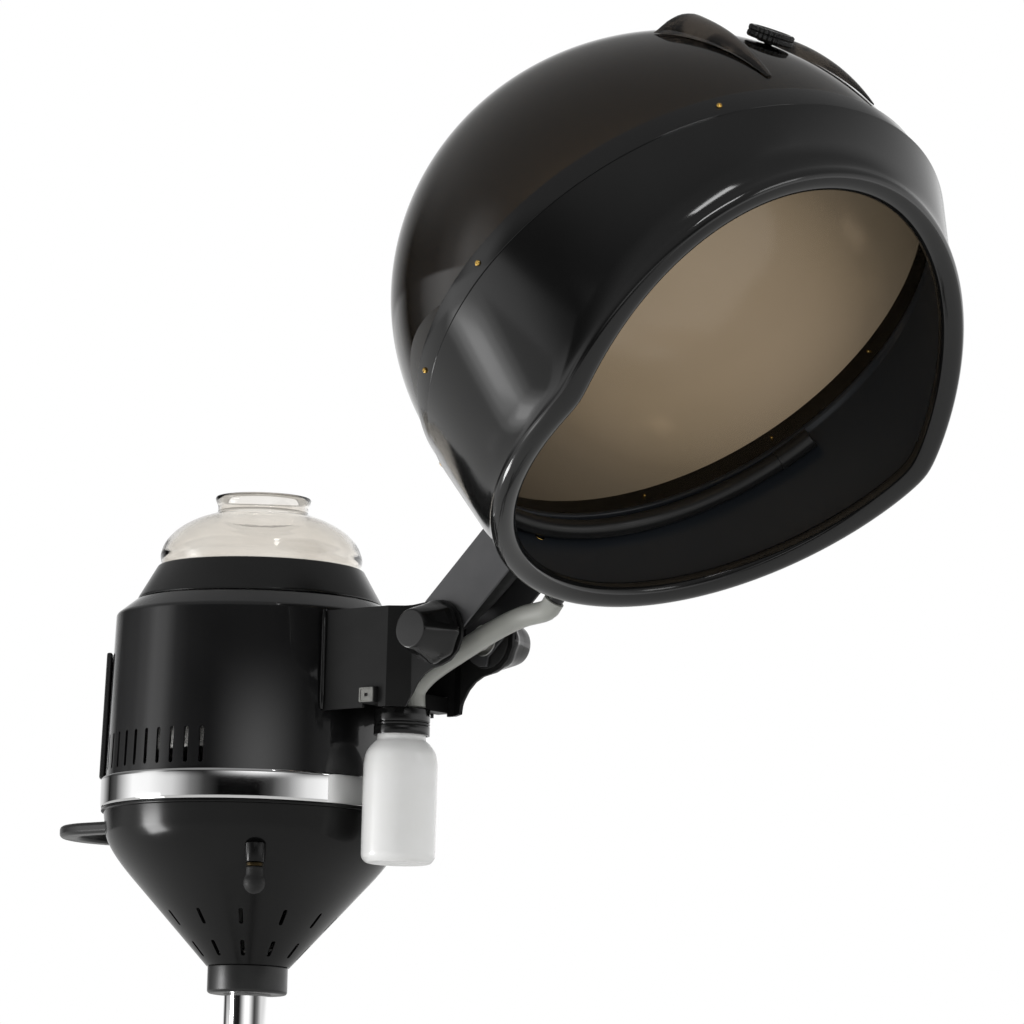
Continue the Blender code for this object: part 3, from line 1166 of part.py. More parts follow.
def rim_point(angle):
    return Vector((RIM_SHIFT + RIM_HALF_LENGTH * math.cos(angle), RIM_HALF_WIDTH * math.sin(angle)))


def rim_meet():
    """The angle round the rolled rim at which its inside runs into the wall."""
    return math.acos(1 - VISOR_WALL / RIM_RADIUS)


def visor_inner(angle, depth):
    """The wall's inside at one angle, at this depth below the dome's edge."""
    rim = rim_point(angle)
    low = rim + oval_normal(angle) * RIM_RADIUS * math.cos(rim_meet())
    share = depth / (rim_depth(rim.x) - RIM_RADIUS * math.sin(rim_meet()))
    return oval(angle, -VISOR_WALL).lerp(low, share)


def visor_section(angle):
    """The ring's wall at one angle: flange, step, wall, rolled rim, then back up inside over the ledge."""
    normal = oval_normal(angle)
    rim = rim_point(angle)
    depth = rim_depth(rim.x)
    flange = oval(angle)
    inner_flange = oval(angle, -VISOR_WALL)
    wall_top = oval(angle, VISOR_STEP)
    meet = rim_meet()
    ledge_top = DOME_SKIRT + GAP
    ledge_low = ledge_top + LEDGE_THICKNESS
    inner_wall = visor_inner(angle, ledge_low + LEDGE_FILLET)
    ledge = oval(angle, -VISOR_WALL - LEDGE_WIDTH)
    points = [(flange, 0.0), (flange, -FLANGE_DEPTH + OVERLAP), (wall_top, -FLANGE_DEPTH)]
    count = 7
    for i in range(count + 1):
        turn = -(math.tau - meet) * i / count
        points.append((rim + normal * RIM_RADIUS * math.cos(turn), -depth + RIM_RADIUS * math.sin(turn)))
    points += [(inner_wall, -ledge_low - LEDGE_FILLET), (ledge, -ledge_low), (ledge, -ledge_top),
               (inner_flange, -ledge_top), (inner_flange, 0.0)]
    return [(place.x, place.y, z) for place, z in points]


def hood_ring(mat, hood):
    """The most skilled piece: one wall swept round an oval while its rolled rim rises and falls."""
    sections = [visor_section(math.tau * i / HOOD_STEPS) for i in range(HOOD_STEPS)]
    ring = loft("hood_ring", sections, mat["gloss_black"], hood, ring=True)
    nape = -HOOD_HALF_LENGTH
    for name, radius, depth in (("inlet_bore", INLET_RADIUS + BORE_PLAY, PIPE_DEPTH),
                                ("spigot_bore", SPIGOT_RADIUS * 0.6, SPIGOT_DEPTH)):
        cut(ring, pin(name, radius, (nape - 4 * CLEAR, 0, -depth), (nape + CLEAR, 0, -depth), hood))
    return ring


def nape_wall(depth):
    """The outside of the ring's wall at the nape, at this depth below the dome's edge."""
    rim = RIM_SHIFT - RIM_HALF_LENGTH - RIM_RADIUS
    top = -HOOD_HALF_LENGTH - VISOR_STEP
    share = (depth - FLANGE_DEPTH) / (RIM_DEPTH_NAPE - FLANGE_DEPTH)
    return top + (rim - top) * share


def inlet_face():
    """Where the inlet's nut meets the slanted wall."""
    return nape_wall(PIPE_DEPTH + INLET_NUT_RADIUS) - GAP


def spigot_face():
    """Where the spigot's flange meets the slanted wall."""
    return nape_wall(SPIGOT_DEPTH + SPIGOT_FLANGE_RADIUS) - GAP


def dome_point(angle, lift, out=0.0):
    """A point of the dome's outside: lift runs from 0 at its edge to a right angle at the crown."""
    edge = oval(angle, -VISOR_WALL - GAP)
    side = Vector((edge.x * math.cos(lift), edge.y * math.cos(lift), DOME_HEIGHT * math.sin(lift)))
    if out == 0.0:
        return side
    return side + dome_normal(side) * out


def dome_normal(point):
    length = HOOD_HALF_LENGTH - VISOR_WALL - GAP
    width = HOOD_HALF_WIDTH - VISOR_WALL - GAP
    return Vector((point.x / length ** 2, point.y / width ** 2, point.z / DOME_HEIGHT ** 2)).normalized()


def hood_dome(mat, hood):
    """The see-through shell: an oval dome with a straight edge that stands on the ring's ledge."""
    rows = 7
    steps = HOOD_STEPS
    angles = [math.tau * i / steps for i in range(steps)]
    lifts = [math.pi / 2 * i / rows for i in range(rows)]
    edge = -VISOR_WALL - GAP
    loops = [[(*oval(a, edge - DOME_WALL), -DOME_SKIRT) for a in angles],
             [(*oval(a, edge), -DOME_SKIRT) for a in angles]]
    loops += [[dome_point(a, lift) for a in angles] for lift in lifts]
    inside = [[dome_point(a, lift, -DOME_WALL) for a in angles] for lift in lifts]
    shape = bmesh.new()
    outer = [[shape.verts.new(point) for point in loop] for loop in loops]
    inner = [[shape.verts.new(point) for point in loop] for loop in inside]
    crown = shape.verts.new((0, 0, DOME_HEIGHT))
    under = shape.verts.new((0, 0, DOME_HEIGHT - DOME_WALL))
    strips = list(zip(outer, outer[1:])) + list(zip(inner[1:], inner)) + [(inner[0], outer[0])]
    for low, high in strips:
        for i in range(steps):
            j = (i + 1) % steps
            shape.faces.new((low[i], low[j], high[j], high[i]))
    for i in range(steps):
        j = (i + 1) % steps
        shape.faces.new((outer[-1][i], outer[-1][j], crown))
        shape.faces.new((inner[-1][j], inner[-1][i], under))
    bmesh.ops.recalc_face_normals(shape, faces=shape.faces)
    for face in shape.faces:
        face.smooth = True
    dome = add("hood_dome", mesh_of(shape, "hood_dome"), mat["smoke"], hood)
    place = vent_place()
    cut(dome, pin("vent_stem_hole", VENT_STEM_RADIUS + BORE_PLAY, place @ Vector((0, 0, -2 * CLEAR)),
                  place @ Vector((0, 0, 2 * CLEAR)), hood))
    return dome


def vent_place():
    """The damper's frame on the dome, Z out of the shell."""
    spot = dome_point(0.0, VENT_KNOB_ANGLE)
    turn = dome_normal(spot).to_track_quat("Z", "Y").to_matrix().to_4x4()
    return Matrix.Translation(spot) @ turn


def vent_control(mat, hood):
    """A knurled knob outside the dome and, on its stem, the damper disc inside."""
    axis = frame("vent_axis", hood, vent_place())
    low, high = VENT_KNOB_LIFT, VENT_KNOB_LIFT + VENT_KNOB_HEIGHT
    inside = -DOME_WALL - DAMPER_DROP
    outline = []
    for i in range(2 * VENT_KNOB_RIDGES):
        radius = VENT_KNOB_RADIUS - (VENT_KNOB_RIDGE if i % 2 else 0.0)
        outline.append(polar(radius, math.pi * i / VENT_KNOB_RIDGES).to_2d())
    knob = slab("vent_knob", [tuple(point) for point in outline], high - low, mat["moulded_black"], axis,
                at(z=low))
    stem_end = inside - DAMPER_THICKNESS - STUD_END
    fuse(knob, pin("vent_stem", VENT_STEM_RADIUS, (0, 0, stem_end), (0, 0, low + OVERLAP), axis))
    fuse(knob, pin("vent_boss", VENT_KNOB_RADIUS * 0.5, (0, 0, 2 * GAP), (0, 0, low + OVERLAP), axis))
    bore = VENT_STEM_RADIUS + BORE_PLAY
    turned("vent_damper", [
        (DAMPER_RADIUS, inside), (DAMPER_RADIUS, inside - DAMPER_THICKNESS),
        (bore, inside - DAMPER_THICKNESS), (bore, inside)], mat["moulded_black"], axis, steps=STEPS_MIDDLE)


def vent_scoops(mat, hood):
    """Two tapering scoops on the dome, beside the damper knob."""
    rows = 8
    for side, word in ((-1, "near"), (1, "far")):
        loops = []
        for i in range(rows + 1):
            share = i / rows
            lift = SCOOP_BACK + (SCOOP_FRONT - SCOOP_BACK) * share
            swell = (1 - share) * min(1.0, SCOOP_TIP + SCOOP_STEEPNESS * share)
            half = SCOOP_HALF_WIDTH * (SCOOP_TIP + (1 - SCOOP_TIP) * (1 - share))
            height = SCOOP_EDGE + SCOOP_HEIGHT * swell
            loops.append(scoop_section(side * SCOOP_OFFSET, lift, half, height))
        loft(f"vent_scoop_{word}", loops, mat["smoke"], hood)


def scoop_section(y, lift, half, height):
    """Across a scoop: three points on the dome and an arch of three over them."""
    def seat(offset, rise):
        across = math.asin(max(-1.0, min(1.0, (y + offset) / (HOOD_HALF_WIDTH * math.cos(lift)))))
        return dome_point(across, lift, 2 * GAP + rise)
    arch = [seat(0.62 * half, 0.72 * height), seat(0.0, height), seat(-0.62 * half, 0.72 * height)]
    return [seat(-half, 0.0), seat(0.0, 0.0), seat(half, 0.0)] + arch


def steam_parts(mat, hood):
    """The steam pipe round the nape inside the ring, and the brass inlet through the wall."""
    step = math.tau / HOOD_STEPS
    route = []
    for i in range(-PIPE_HALF_STEPS, PIPE_HALF_STEPS + 1):
        angle = math.pi + i * step
        place = visor_inner(angle, PIPE_DEPTH + PIPE_RADIUS) - oval_normal(angle) * (PIPE_RADIUS + 4 * GAP)
        route.append(Vector((*place, -PIPE_DEPTH)))
    tube("steam_pipe", route, PIPE_RADIUS, mat["moulded_black"], 2, hood)
    nut = inlet_face()
    bore = INLET_RADIUS * 0.6
    inner = visor_inner(math.pi, PIPE_DEPTH + PIPE_RADIUS).x + 2 * GAP
    back = nut - INLET_NUT_LENGTH
    tail = back - INLET_NUT_LENGTH
    turned("steam_inlet", [
        (INLET_RADIUS, inner), (INLET_RADIUS, nut), (INLET_NUT_RADIUS, nut), (INLET_NUT_RADIUS, back),
        (INLET_RADIUS, back), (INLET_RADIUS, tail), (bore, tail), (bore, inner)],
        mat["brass"], hood, at(0, 0, -PIPE_DEPTH, math.pi / 2, "Y"), STEPS_SMALL)
    root = spigot_face()
    end = root - SPIGOT_LENGTH
    hole = SPIGOT_RADIUS * 0.6
    turned("drain_spigot", [
        (SPIGOT_FLANGE_RADIUS, root), (SPIGOT_FLANGE_RADIUS, root - 0.003), (SPIGOT_RADIUS, root - 0.004),
        (SPIGOT_RADIUS, end), (hole, end), (hole, root)],
        mat["moulded_black"], hood, at(0, 0, -SPIGOT_DEPTH, math.pi / 2, "Y"), STEPS_SMALL)


def hood_saddle(mat, hood):
    """The block that bolts the arm's end to the nape, shaped to the ring's wall."""
    back = ARM_LENGTH - HOOD_AHEAD + GAP
    count = 6
    loops = []
    for depth in SADDLE_DEPTH:
        drop = nape_wall(depth) + HOOD_HALF_LENGTH
        front = []
        for i in range(count + 1):
            y = -SADDLE_HALF_WIDTH + 2 * SADDLE_HALF_WIDTH * i / count
            bow = HOOD_HALF_LENGTH * math.sqrt(1 - (y / HOOD_HALF_WIDTH) ** 2)
            front.append((drop - bow - GAP, y, -depth))
        loops.append(front + [(back, SADDLE_HALF_WIDTH, -depth), (back, -SADDLE_HALF_WIDTH, -depth)])
    saddle = loft("hood_saddle", loops, mat["satin_black"], hood)
    cut(saddle, pin("saddle_bore", INLET_NUT_RADIUS + 2 * BORE_PLAY, (back - 2 * CLEAR, 0, -PIPE_DEPTH),
                    (back + NAPE_AHEAD / 2, 0, -PIPE_DEPTH), hood, 16))
    return saddle


# Hoses that cross the tilting joint

def hoses(mat, hood):
    """The drain hose from spigot to bottle cap and the steam hose through the arm."""
    to_world = hood.matrix_world
    along = (to_world.to_3x3() @ Vector((1, 0, 0))).normalized()
    tip = to_world @ Vector((spigot_face() - SPIGOT_LENGTH - 2 * GAP, 0, -SPIGOT_DEPTH))
    start = Vector((BOTTLE_X + BARB_X, 0, CAP_TOP + BARB_HEIGHT + GAP))
    drain_ends = [start, start + Vector((0, 0, HOSE_STRAIGHT)), tip - along * 1.5 * HOSE_STRAIGHT, tip]
    hose("drain_hose", drain_ends[:2] + from_pivot(DRAIN_ROUTE) + drain_ends[2:], DRAIN_HOSE_RADIUS,
         mat["silicone"])
    inlet = to_world @ Vector((inlet_face() - 2 * INLET_NUT_LENGTH - 2 * GAP, 0, -PIPE_DEPTH))
    source = Vector((STEAM_TUBE_END + 2 * GAP, 0, STEAM_TUBE_Z))
    steam_ends = [source, source + Vector((2.5 * HOSE_STRAIGHT, 0, 0)), inlet - along * 2.5 * HOSE_STRAIGHT,
                  inlet]
    hose("steam_hose", steam_ends[:2] + from_pivot(STEAM_ROUTE) + steam_ends[2:], STEAM_HOSE_RADIUS,
         mat["rubber"])


def from_pivot(route):
    return [Vector((PIVOT_X + ahead, 0, PIVOT_Z + up)) for ahead, up in route]


def build():
    for obj in list(bpy.data.objects):
        bpy.data.objects.remove(obj, do_unlink=True)
    mat = finishes()
    star_base(mat)
    casters(mat)
    stand_tubes(mat)
    pole_fittings(mat)
    lower_bowl(mat)
    mains_inlet(mat)
    drain(mat)
    rear_handle(mat)
    chrome_band(mat)
    body_shell(mat)
    control_panel(mat)
    top_cover(mat)
    glass_jar(mat)
    boiler(mat)
    steam_outlet(mat)
    arm_bracket(mat)
    bottle_bar(mat)
    bottle(mat)
    pivot = frame("hood_pivot", place=pivot_place())
    hood = frame("hood_frame", pivot, at(HOOD_AHEAD, 0, HOOD_ABOVE))
    bpy.context.view_layer.update()
    clamp_knobs(mat, pivot)
    arm_channel(mat, pivot)
    hood_saddle(mat, hood)
    hood_ring(mat, hood)
    hood_dome(mat, hood)
    vent_control(mat, hood)
    vent_scoops(mat, hood)
    steam_parts(mat, hood)
    hoses(mat, hood)


build()
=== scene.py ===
import json
import math

import bmesh
import bpy
from mathutils import Matrix, Vector


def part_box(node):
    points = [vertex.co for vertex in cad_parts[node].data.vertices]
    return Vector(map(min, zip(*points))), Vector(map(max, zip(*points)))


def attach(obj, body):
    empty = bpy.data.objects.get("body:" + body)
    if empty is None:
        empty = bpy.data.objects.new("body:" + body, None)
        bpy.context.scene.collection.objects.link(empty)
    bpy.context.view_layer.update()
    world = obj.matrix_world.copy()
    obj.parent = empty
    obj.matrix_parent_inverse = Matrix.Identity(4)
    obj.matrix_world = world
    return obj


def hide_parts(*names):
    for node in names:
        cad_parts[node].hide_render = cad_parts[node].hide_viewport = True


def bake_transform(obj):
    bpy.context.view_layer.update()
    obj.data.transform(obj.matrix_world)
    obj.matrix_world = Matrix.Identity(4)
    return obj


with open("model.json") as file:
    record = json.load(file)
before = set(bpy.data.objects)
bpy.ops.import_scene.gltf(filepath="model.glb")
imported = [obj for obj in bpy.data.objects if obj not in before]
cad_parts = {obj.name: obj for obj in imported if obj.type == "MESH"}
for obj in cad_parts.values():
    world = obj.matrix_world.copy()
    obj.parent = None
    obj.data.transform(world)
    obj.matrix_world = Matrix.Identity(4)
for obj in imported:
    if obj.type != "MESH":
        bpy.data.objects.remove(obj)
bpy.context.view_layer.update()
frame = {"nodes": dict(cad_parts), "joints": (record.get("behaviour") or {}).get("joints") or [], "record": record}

NODES = frame["nodes"]
BODY_OF = {node: body for body, nodes in frame["record"]["behaviour"]["bodies"].items() for node in nodes}
SLOT_OF = {row["node"]: row["material_slot"] for row in frame["record"]["subparts"]}
JOINTS = {joint["name"]: joint for joint in frame["joints"]}

# The photograph's camera: place in metres, angles in degrees, lens and sensor in millimetres
CAMERA_PLACE = (3.67359, -3.86384, 0.48770)
CAMERA_AZIMUTH = 41.5
CAMERA_PITCH = 8.0
CAMERA_ROLL = 1.65
CAMERA_LENS = 246.1
CAMERA_SENSOR = 36.0

# Lengths are in metres. Outlines of turned pieces are pairs of radius and height
FIT = 0.0003                           # gap between pieces that fit into each other

# Steam unit
BOWL_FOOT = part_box("lower_bowl")[0].z
BOWL_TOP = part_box("lower_bowl")[1].z
BOWL_FOOT_RADIUS = 0.0316
BOWL_CONE = (0.1108, 0.0880)           # radius and height at the top of the cone
BOWL_SIDE_RADIUS = 0.1140
BOWL_ROUND = 0.030
BOWL_WALL = 0.0025
BOWL_RIM_RADIUS = 0.1132
BEAD_INSET = 0.0006                    # from the band's outside in to the bead
BEAD_DROPS = (0.0024, 0.0030)          # the bead's lower edge and the top of the side, below the band
BOWL_SLOTS = 12
BOWL_SLOT = (0.0150, 0.0032)           # length and width
BOWL_SLOT_ROWS = (0.0115, 0.0340)      # heights up the cone
BOWL_SLOT_TURN = 0.25                  # of the way from one slot to the next
SLOT_CUT = 0.008                       # how far a cutter reaches in and out
POLE_BORE = 0.0180
BAND_RADIUS = 0.1168
BAND_LOW, BAND_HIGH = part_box("chrome_band")[0].z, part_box("chrome_band")[1].z
DRAIN_REACH, DRAIN_TURN = 0.104, math.radians(-45)
DRAIN_SPOT = Vector((DRAIN_REACH * math.cos(DRAIN_TURN), DRAIN_REACH * math.sin(DRAIN_TURN), 0.0))
DRAIN_BOSS = (0.0075, 0.9520, 0.9665)  # radius, bottom, top
DRAIN_DRAFT = 0.0006                   # how much wider the boss is at its top
SHELL_LOW, SHELL_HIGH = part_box("body_shell")[0].z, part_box("body_shell")[1].z
SHELL_HEIGHT = 0.136                   # up to the shoulder
SHELL_SHOULDER = SHELL_HIGH - 0.0130
SHELL_FOOT_RADIUS = 0.1143
SHELL_TOP_RADIUS = 0.1105
SHELL_MOUTH_RADIUS = 0.0860
SHELL_WALL = 0.0020
SHELL_SETBACK = 0.001                  # of both ends of the shoulder from the ring and the side
VENTS = 10
VENT_PITCH = math.pi / 28
VENT_FIRST = 10.5 * VENT_PITCH
VENT_WIDTH = 0.0034
VENT_SPAN = (BAND_HIGH + 0.0045, BAND_HIGH + 0.0320)
VENT_CUT = (0.100, 0.126)              # radii between which a cutter reaches
RING_FOOT_RADIUS = 0.0935
OUTLET_HEIGHT = 1.1270
TANK_RADII = (0.083, 0.0845, 0.089)    # inside, outside, lip
TANK_WALL = 0.0015
JAR_LIP = ((0.0350, 1.2412), (0.0362, 1.2412), (0.0368, 1.2400), (0.0362, 1.2378), (0.0346, 1.2340))
JAR_SIDE = ((0.0345, 1.2310), (0.0352, 1.2288), (0.0395, 1.2270), (0.0520, 1.2225), (0.0645, 1.2150),
            (0.0735, 1.2055), (0.0773, 1.1960), (0.0771, 1.1910), (0.0764, 1.1870))
JAR_NECK_INSIDE = ((0.0318, 1.2345), (0.0336, 1.2385))
JAR_SKIRT_RADIUS = 0.0764
JAR_LIFT = 0.001                       # of the visible skirt over the CAD jar's foot
JAR_WALL = 0.0026
JAR_BELLY = (0.8, 0.7)                 # shares of the wall by which the belly's inside lies further in and down

# Catch bottle, its outline from the neck down above its foot
BOTTLE_X = 0.151
BOTTLE_OUTLINE = ((0.0183, 0.0945), (0.0187, 0.0925), (0.0218, 0.0895), (0.0262, 0.0830), (0.0280, 0.0740),
                  (0.0280, 0.0700), (0.0280, 0.0100), (0.0276, 0.0045), (0.0250, 0.0008), (0.0215, 0.0),
                  (0.0140, 0.0012), (0.0, 0.0020))
BOTTLE_SHOULDER, BOTTLE_SIDE, BOTTLE_FOOT = slice(0, 5), slice(5, 7), slice(6, 11)
BOTTLE_WALL = 0.0015
BOTTLE_FLOOR = 0.02                    # height under which the wall is measured upwards too
CAP_RADIUS = 0.0212
CAP_BORE = 0.0190
CAP_HEIGHT = 0.0200
CAP_TOP_WALL = 0.003
CAP_CHAMFER = (0.0007, 0.0008)         # across and down
CAP_GROOVES = (0.0105, 0.0128)         # below the top
CAP_GROOVE = (0.0005, 0.0007)          # depth and half width
BARB_X = 0.1635
BARB_OUTLINE = ((0, -0.001), (0.0052, -0.001), (0.0052, 0.0058), (0.0045, 0.006), (0.0032, 0.006), (0.0032, 0.001),
                (0, 0.001))            # from the cap's top

# Arm bracket and clamp knobs
KNOB_OUTLINE = ((0, 0), (0.0142, 0), (0.0150, -0.0010), (0.0168, -0.0060), (0.0190, -0.0130), (0.0218, -0.0205),
                (0.0236, -0.0240), (0.0240, -0.0255), (0.0240, -0.0283), (0.0230, -0.0295))  # from its face
STUD_SEARCH = 0.001                    # below the knob, where only its stud is left
ROLLED_EDGE = (0.1062, 0.0408, 0.0021)  # place to the front and to the side, radius
ROLLED_EDGE_ENDS = (0.001, 0.002)      # short of the bracket's lower and upper edge
BAR_PLATE_INSET = 0.0004
BAR_PLATE_RISES = ((1.0, 0.00005), (1.0, 0.0008), (0.96, 0.0011), (0.80, 0.0011), (0.77, 0.0007))  # share, height
BAR_HOLE_RADIUS = 0.0019
BAR_HOLE_RISES = (0.0007, 0.00005)

# Hood; its own frame runs x from nape to forehead, y across, z to the crown
PIVOT = Vector((0.2105, 0.0, 1.1215))
HOOD_TILT = math.radians(42.4)
HOOD_OFFSET = (0.3068, 0.0, 0.0393)    # from the pivot, along the arm
HOOD_PLACE = Matrix.Translation(PIVOT) @ Matrix.Rotation(-HOOD_TILT, 4, "Y") @ Matrix.Translation(HOOD_OFFSET)
HOOD_BACK = HOOD_PLACE.inverted()
HOOD_HALF = (0.204, 0.226)
DOME_HEIGHT = 0.195
DOME_WALL = 0.003
DOME_SKIRT = 0.016
GATE_MARK = (0.009, 0.0035, 0.0005)    # radius, width and height of the ring at the crown
RIM_HALF = (0.189, 0.1987)
RIM_SHIFT = -0.0156
RIM_RADIUS = 0.0094
RIM_DEPTHS = (0.0959, 0.1252, 0.0602)  # nape, temple, forehead
RIM_TEMPLE = (-0.0159, 0.0100)         # place and rounding of the bend
RIM_BEAD = math.radians(36)            # how far up its outside the roll stands clear of the wall
RIM_HOLLOW = 0.016                     # length of wall that curves out into the roll
RIM_STEPS, HOLLOW_STEPS = 30, 8
HOLLOW_END = 3                         # the step of the roll at which the hollow curve meets it
VISOR_WALL = 0.003
VISOR_STEP = 0.0016
VISOR_EASE = (0.0004, 0.0012)          # of corners outside and inside
STEP_GROOVE = 0.0010                   # depth of the fine groove where flange and wall meet
FLANGE_DEPTH = 0.018
LEDGE = (0.005, 0.003, 0.004)          # width, thickness, height of the slope under it
PIPE_DEPTH = 0.0335
PIPE_RADIUS = 0.0072
PIPE_SWEEP = math.radians(70)
PIPE_STEPS = 64
SLEEVE_POINTS, SLEEVE_WALL = 5, 0.0008
SPIGOT_DEPTH = 0.0830
SCOOP_SPAN = (math.radians(33.5), math.radians(5))
SCOOP_OFFSET = 0.060
SCOOP_HEIGHT = 0.0135
SCOOP_EDGE = 0.0012
SCOOP_HALF_WIDTH = 0.021
SCOOP_TIP = 0.12                       # width and height that are left at an end, as a share
SCOOP_BLUNT = 0.098                    # share of its length over which the back rises
VENT_KNOB = ((0, 0.0100), (0.0128, 0.0100), (0.0136, 0.0108), (0.0160, 0.0108), (0.0175, 0.0098), (0.0175, 0.0072),
             (0.0167, 0.0064), (0.0175, 0.0056), (0.0175, 0.0030), (0.0165, 0.0018), (0.0088, 0.0018),
             (0.0088, 0.0006), (0.0030, 0.0006), (0.0030, -0.0101), (0, -0.0101))
SCREW_ANGLES = (31.5, 90.0, 119.0, 150.0)
SCREW_DEPTH = 0.0085
SCREW = ((0, 0.0010), (0.0007, 0.0010), (0.0009, 0.0017), (0.0018, 0.0015), (0.0022, 0.0007), (0.0022, 0.00005),
         (0.0011, 0.00005), (0.0011, -0.0082), (0, -0.0090))

# Hoses: routes give forward and up from the pivot
OUTLET_TIP = Vector((0.1506, 0.0, OUTLET_HEIGHT))
DRAIN_ROUTE = ((-0.0380, -0.0285), (-0.0241, -0.0205), (0.0051, -0.0075), (0.0344, 0.0045), (0.0585, 0.0118))
STEAM_ROUTE = ((-0.0290, 0.0068), (-0.0120, 0.0105), (0.0160, 0.0260))
HOSE_SPACING = 0.004

# Back of the unit
HANDLE_SEAT = 0.1141
HANDLE_HALVES = (0.055, 0.040)         # half widths outside and inside
HANDLE_TIP = (-0.130, 0.0)
PANEL_HALF = math.radians(43)
PANEL_STEPS = 60
PANEL_THICKNESS = 0.0042
LAMP_TURN = math.radians(156)
GLAND_LIFT = 0.052                     # up the bowl's cone
GLAND_TURN = math.radians(142.5)
DIAL_MARKS = 13
DIAL_START, DIAL_STEP = -135, 22.5     # degrees
DIAL_LONG = 3                          # each third mark is long
DIAL_RADIUS = 0.0190
DIAL_LENGTHS = (0.0034, 0.0020)        # long and short
DIAL_HALF_WIDTH = 0.0004
DIAL_INK = 0.0002

# Stand
CLAMP_RADIUS = 0.029
CLAMP_BORES = (0.0217, 0.0182)         # below and at the lip
CLAMP_LIP = 0.0117
LOCK_BOSS = ((0, 0.024), (0.011, 0.024), (0.011, 0.037), (0, 0.037))
HUB = ((0, 0.074), (0.0215, 0.074), (0.0215, 0.134), (0.034, 0.134), (0.038, 0.128), (0.052, 0.106), (0.052, 0.062),
       (0, 0.062))
LEGS = 5
LEG_STEPS = 12
LEG_SPAN = (0.03675, 0.290)
LEG_WIDTHS = (0.050, 0.032)            # root and tip
LEG_HEIGHTS = (0.044, 0.022)
LEG_DIP = 0.012
LEG_UNDERSIDE = 0.063
LEG_SLOPE = 0.35                       # share of the height that slopes
LEG_TOP = 0.6                          # share of the width that is flat on top
CASTER_BOSS = ((0, 0.0561), (0.019, 0.0561), (0.019, 0.087), (0, 0.087))


# Mesh making

CREASE = 34                            # degrees between faces from which an edge stays sharp
WELD = 2e-6                            # points nearer than this become one
ON_AXIS = 1e-6                         # a smaller radius is a point on the axis


def vectors(points):
    return [Vector(point) for point in points]


def between(ends, share):
    """The value at a share of the way from one end to the other."""
    return ends[0] + (ends[1] - ends[0]) * share


def lifted(outline, height):
    """An outline moved up its axis."""
    return [(radius, height + rise) for radius, rise in outline]


def eased(points, reach, count=4, closed=True):
    """A run of points with each corner rounded over, starting up to reach before it."""
    straight, most = math.radians(3), 0.45
    points = vectors(points)
    smooth = []
    for i, corner in enumerate(points):
        before, after = points[i - 1] - corner, points[(i + 1) % len(points)] - corner
        if (not closed and i in (0, len(points) - 1)) or before.angle(-after) < straight:
            smooth.append(corner)
            continue
        start = corner + before.normalized() * min(reach, most * before.length)
        end = corner + after.normalized() * min(reach, most * after.length)
        for k in range(count + 1):
            t = k / count
            smooth.append((1 - t) ** 2 * start + 2 * t * (1 - t) * corner + t * t * end)
    return smooth


def flowing(points, spacing):
    """Points at about this spacing on a smooth curve through the given ones."""
    points = vectors(points)
    ends = [2 * points[0] - points[1]] + points + [2 * points[-1] - points[-2]]
    path = [points[0]]
    for a, b, c, d in zip(ends, ends[1:], ends[2:], ends[3:]):
        count = max(1, round((c - b).length / spacing))
        for step in range(1, count + 1):
            t = step / count
            path.append(0.5 * (2 * b + (c - a) * t + (2 * a - 5 * b + 4 * c - d) * t * t
                               + (3 * b - a - 3 * c + d) * t * t * t))
    return path


def lathe(profile, place=Matrix(), steps=96, closed=True, wobble=None):
    """A shape turned round a place's Z axis from an outline; wobble changes the radius at an angle and radius."""
    shape = bmesh.new()
    rows = []
    for radius, height in profile:
        if radius < ON_AXIS:
            rows.append([shape.verts.new(place @ Vector((0.0, 0.0, height)))])
            continue
        row = []
        for i in range(steps):
            angle = math.tau * i / steps
            reach = radius + (wobble(angle, radius) if wobble else 0.0)
            row.append(shape.verts.new(place @ Vector((reach * math.cos(angle), reach * math.sin(angle), height))))
        rows.append(row)
    for low, high in list(zip(rows, rows[1:])) + ([(rows[-1], rows[0])] if closed else []):
        if len(low) == len(high) == 1:
            continue
        for i in range(steps):
            j = (i + 1) % steps
            corners = (low[i % len(low)], low[j % len(low)], high[j % len(high)], high[i % len(high)])
            shape.faces.new(list(dict.fromkeys(corners)))
    return shape


def turned(outline, corner, place=Matrix(), steps=96, count=4, wobble=None):
    """A solid turned from an outline that starts and ends on the axis, its corners eased."""
    return lathe(eased(outline, corner, count, closed=False), place, steps, closed=False, wobble=wobble)


def ridged(count, depth, inner, outer=1.0, run=0.0):
    """A wobble with ridges between two radii, which rise from the inner one over a run."""
    def wobble(angle, radius):
        if not inner < radius < outer:
            return 0.0
        return depth * (math.cos(count * angle) - 1) * (min(1.0, (radius - inner) / run) if run else 1.0)
    return wobble


def skin(loops, ring=False):
    """A closed shape through loops of points, capped at both ends unless it is a ring."""
    shape = bmesh.new()
    rows = [[shape.verts.new(point) for point in loop] for loop in loops]
    for low, high in zip(rows, rows[1:] + rows[:1] if ring else rows[1:]):
        for i in range(len(low)):
            j = (i + 1) % len(low)
            shape.faces.new((low[i], low[j], high[j], high[i]))
    if not ring:
        shape.faces.new(rows[0])
        shape.faces.new(rows[-1])
    return shape


def plate(outline, thickness, place=Matrix()):
    """A flat shape with a closed outline in a place's XY plane, from Z = 0 up."""
    return skin([[place @ Vector((x, y, z)) for x, y in outline] for z in (0.0, thickness)])


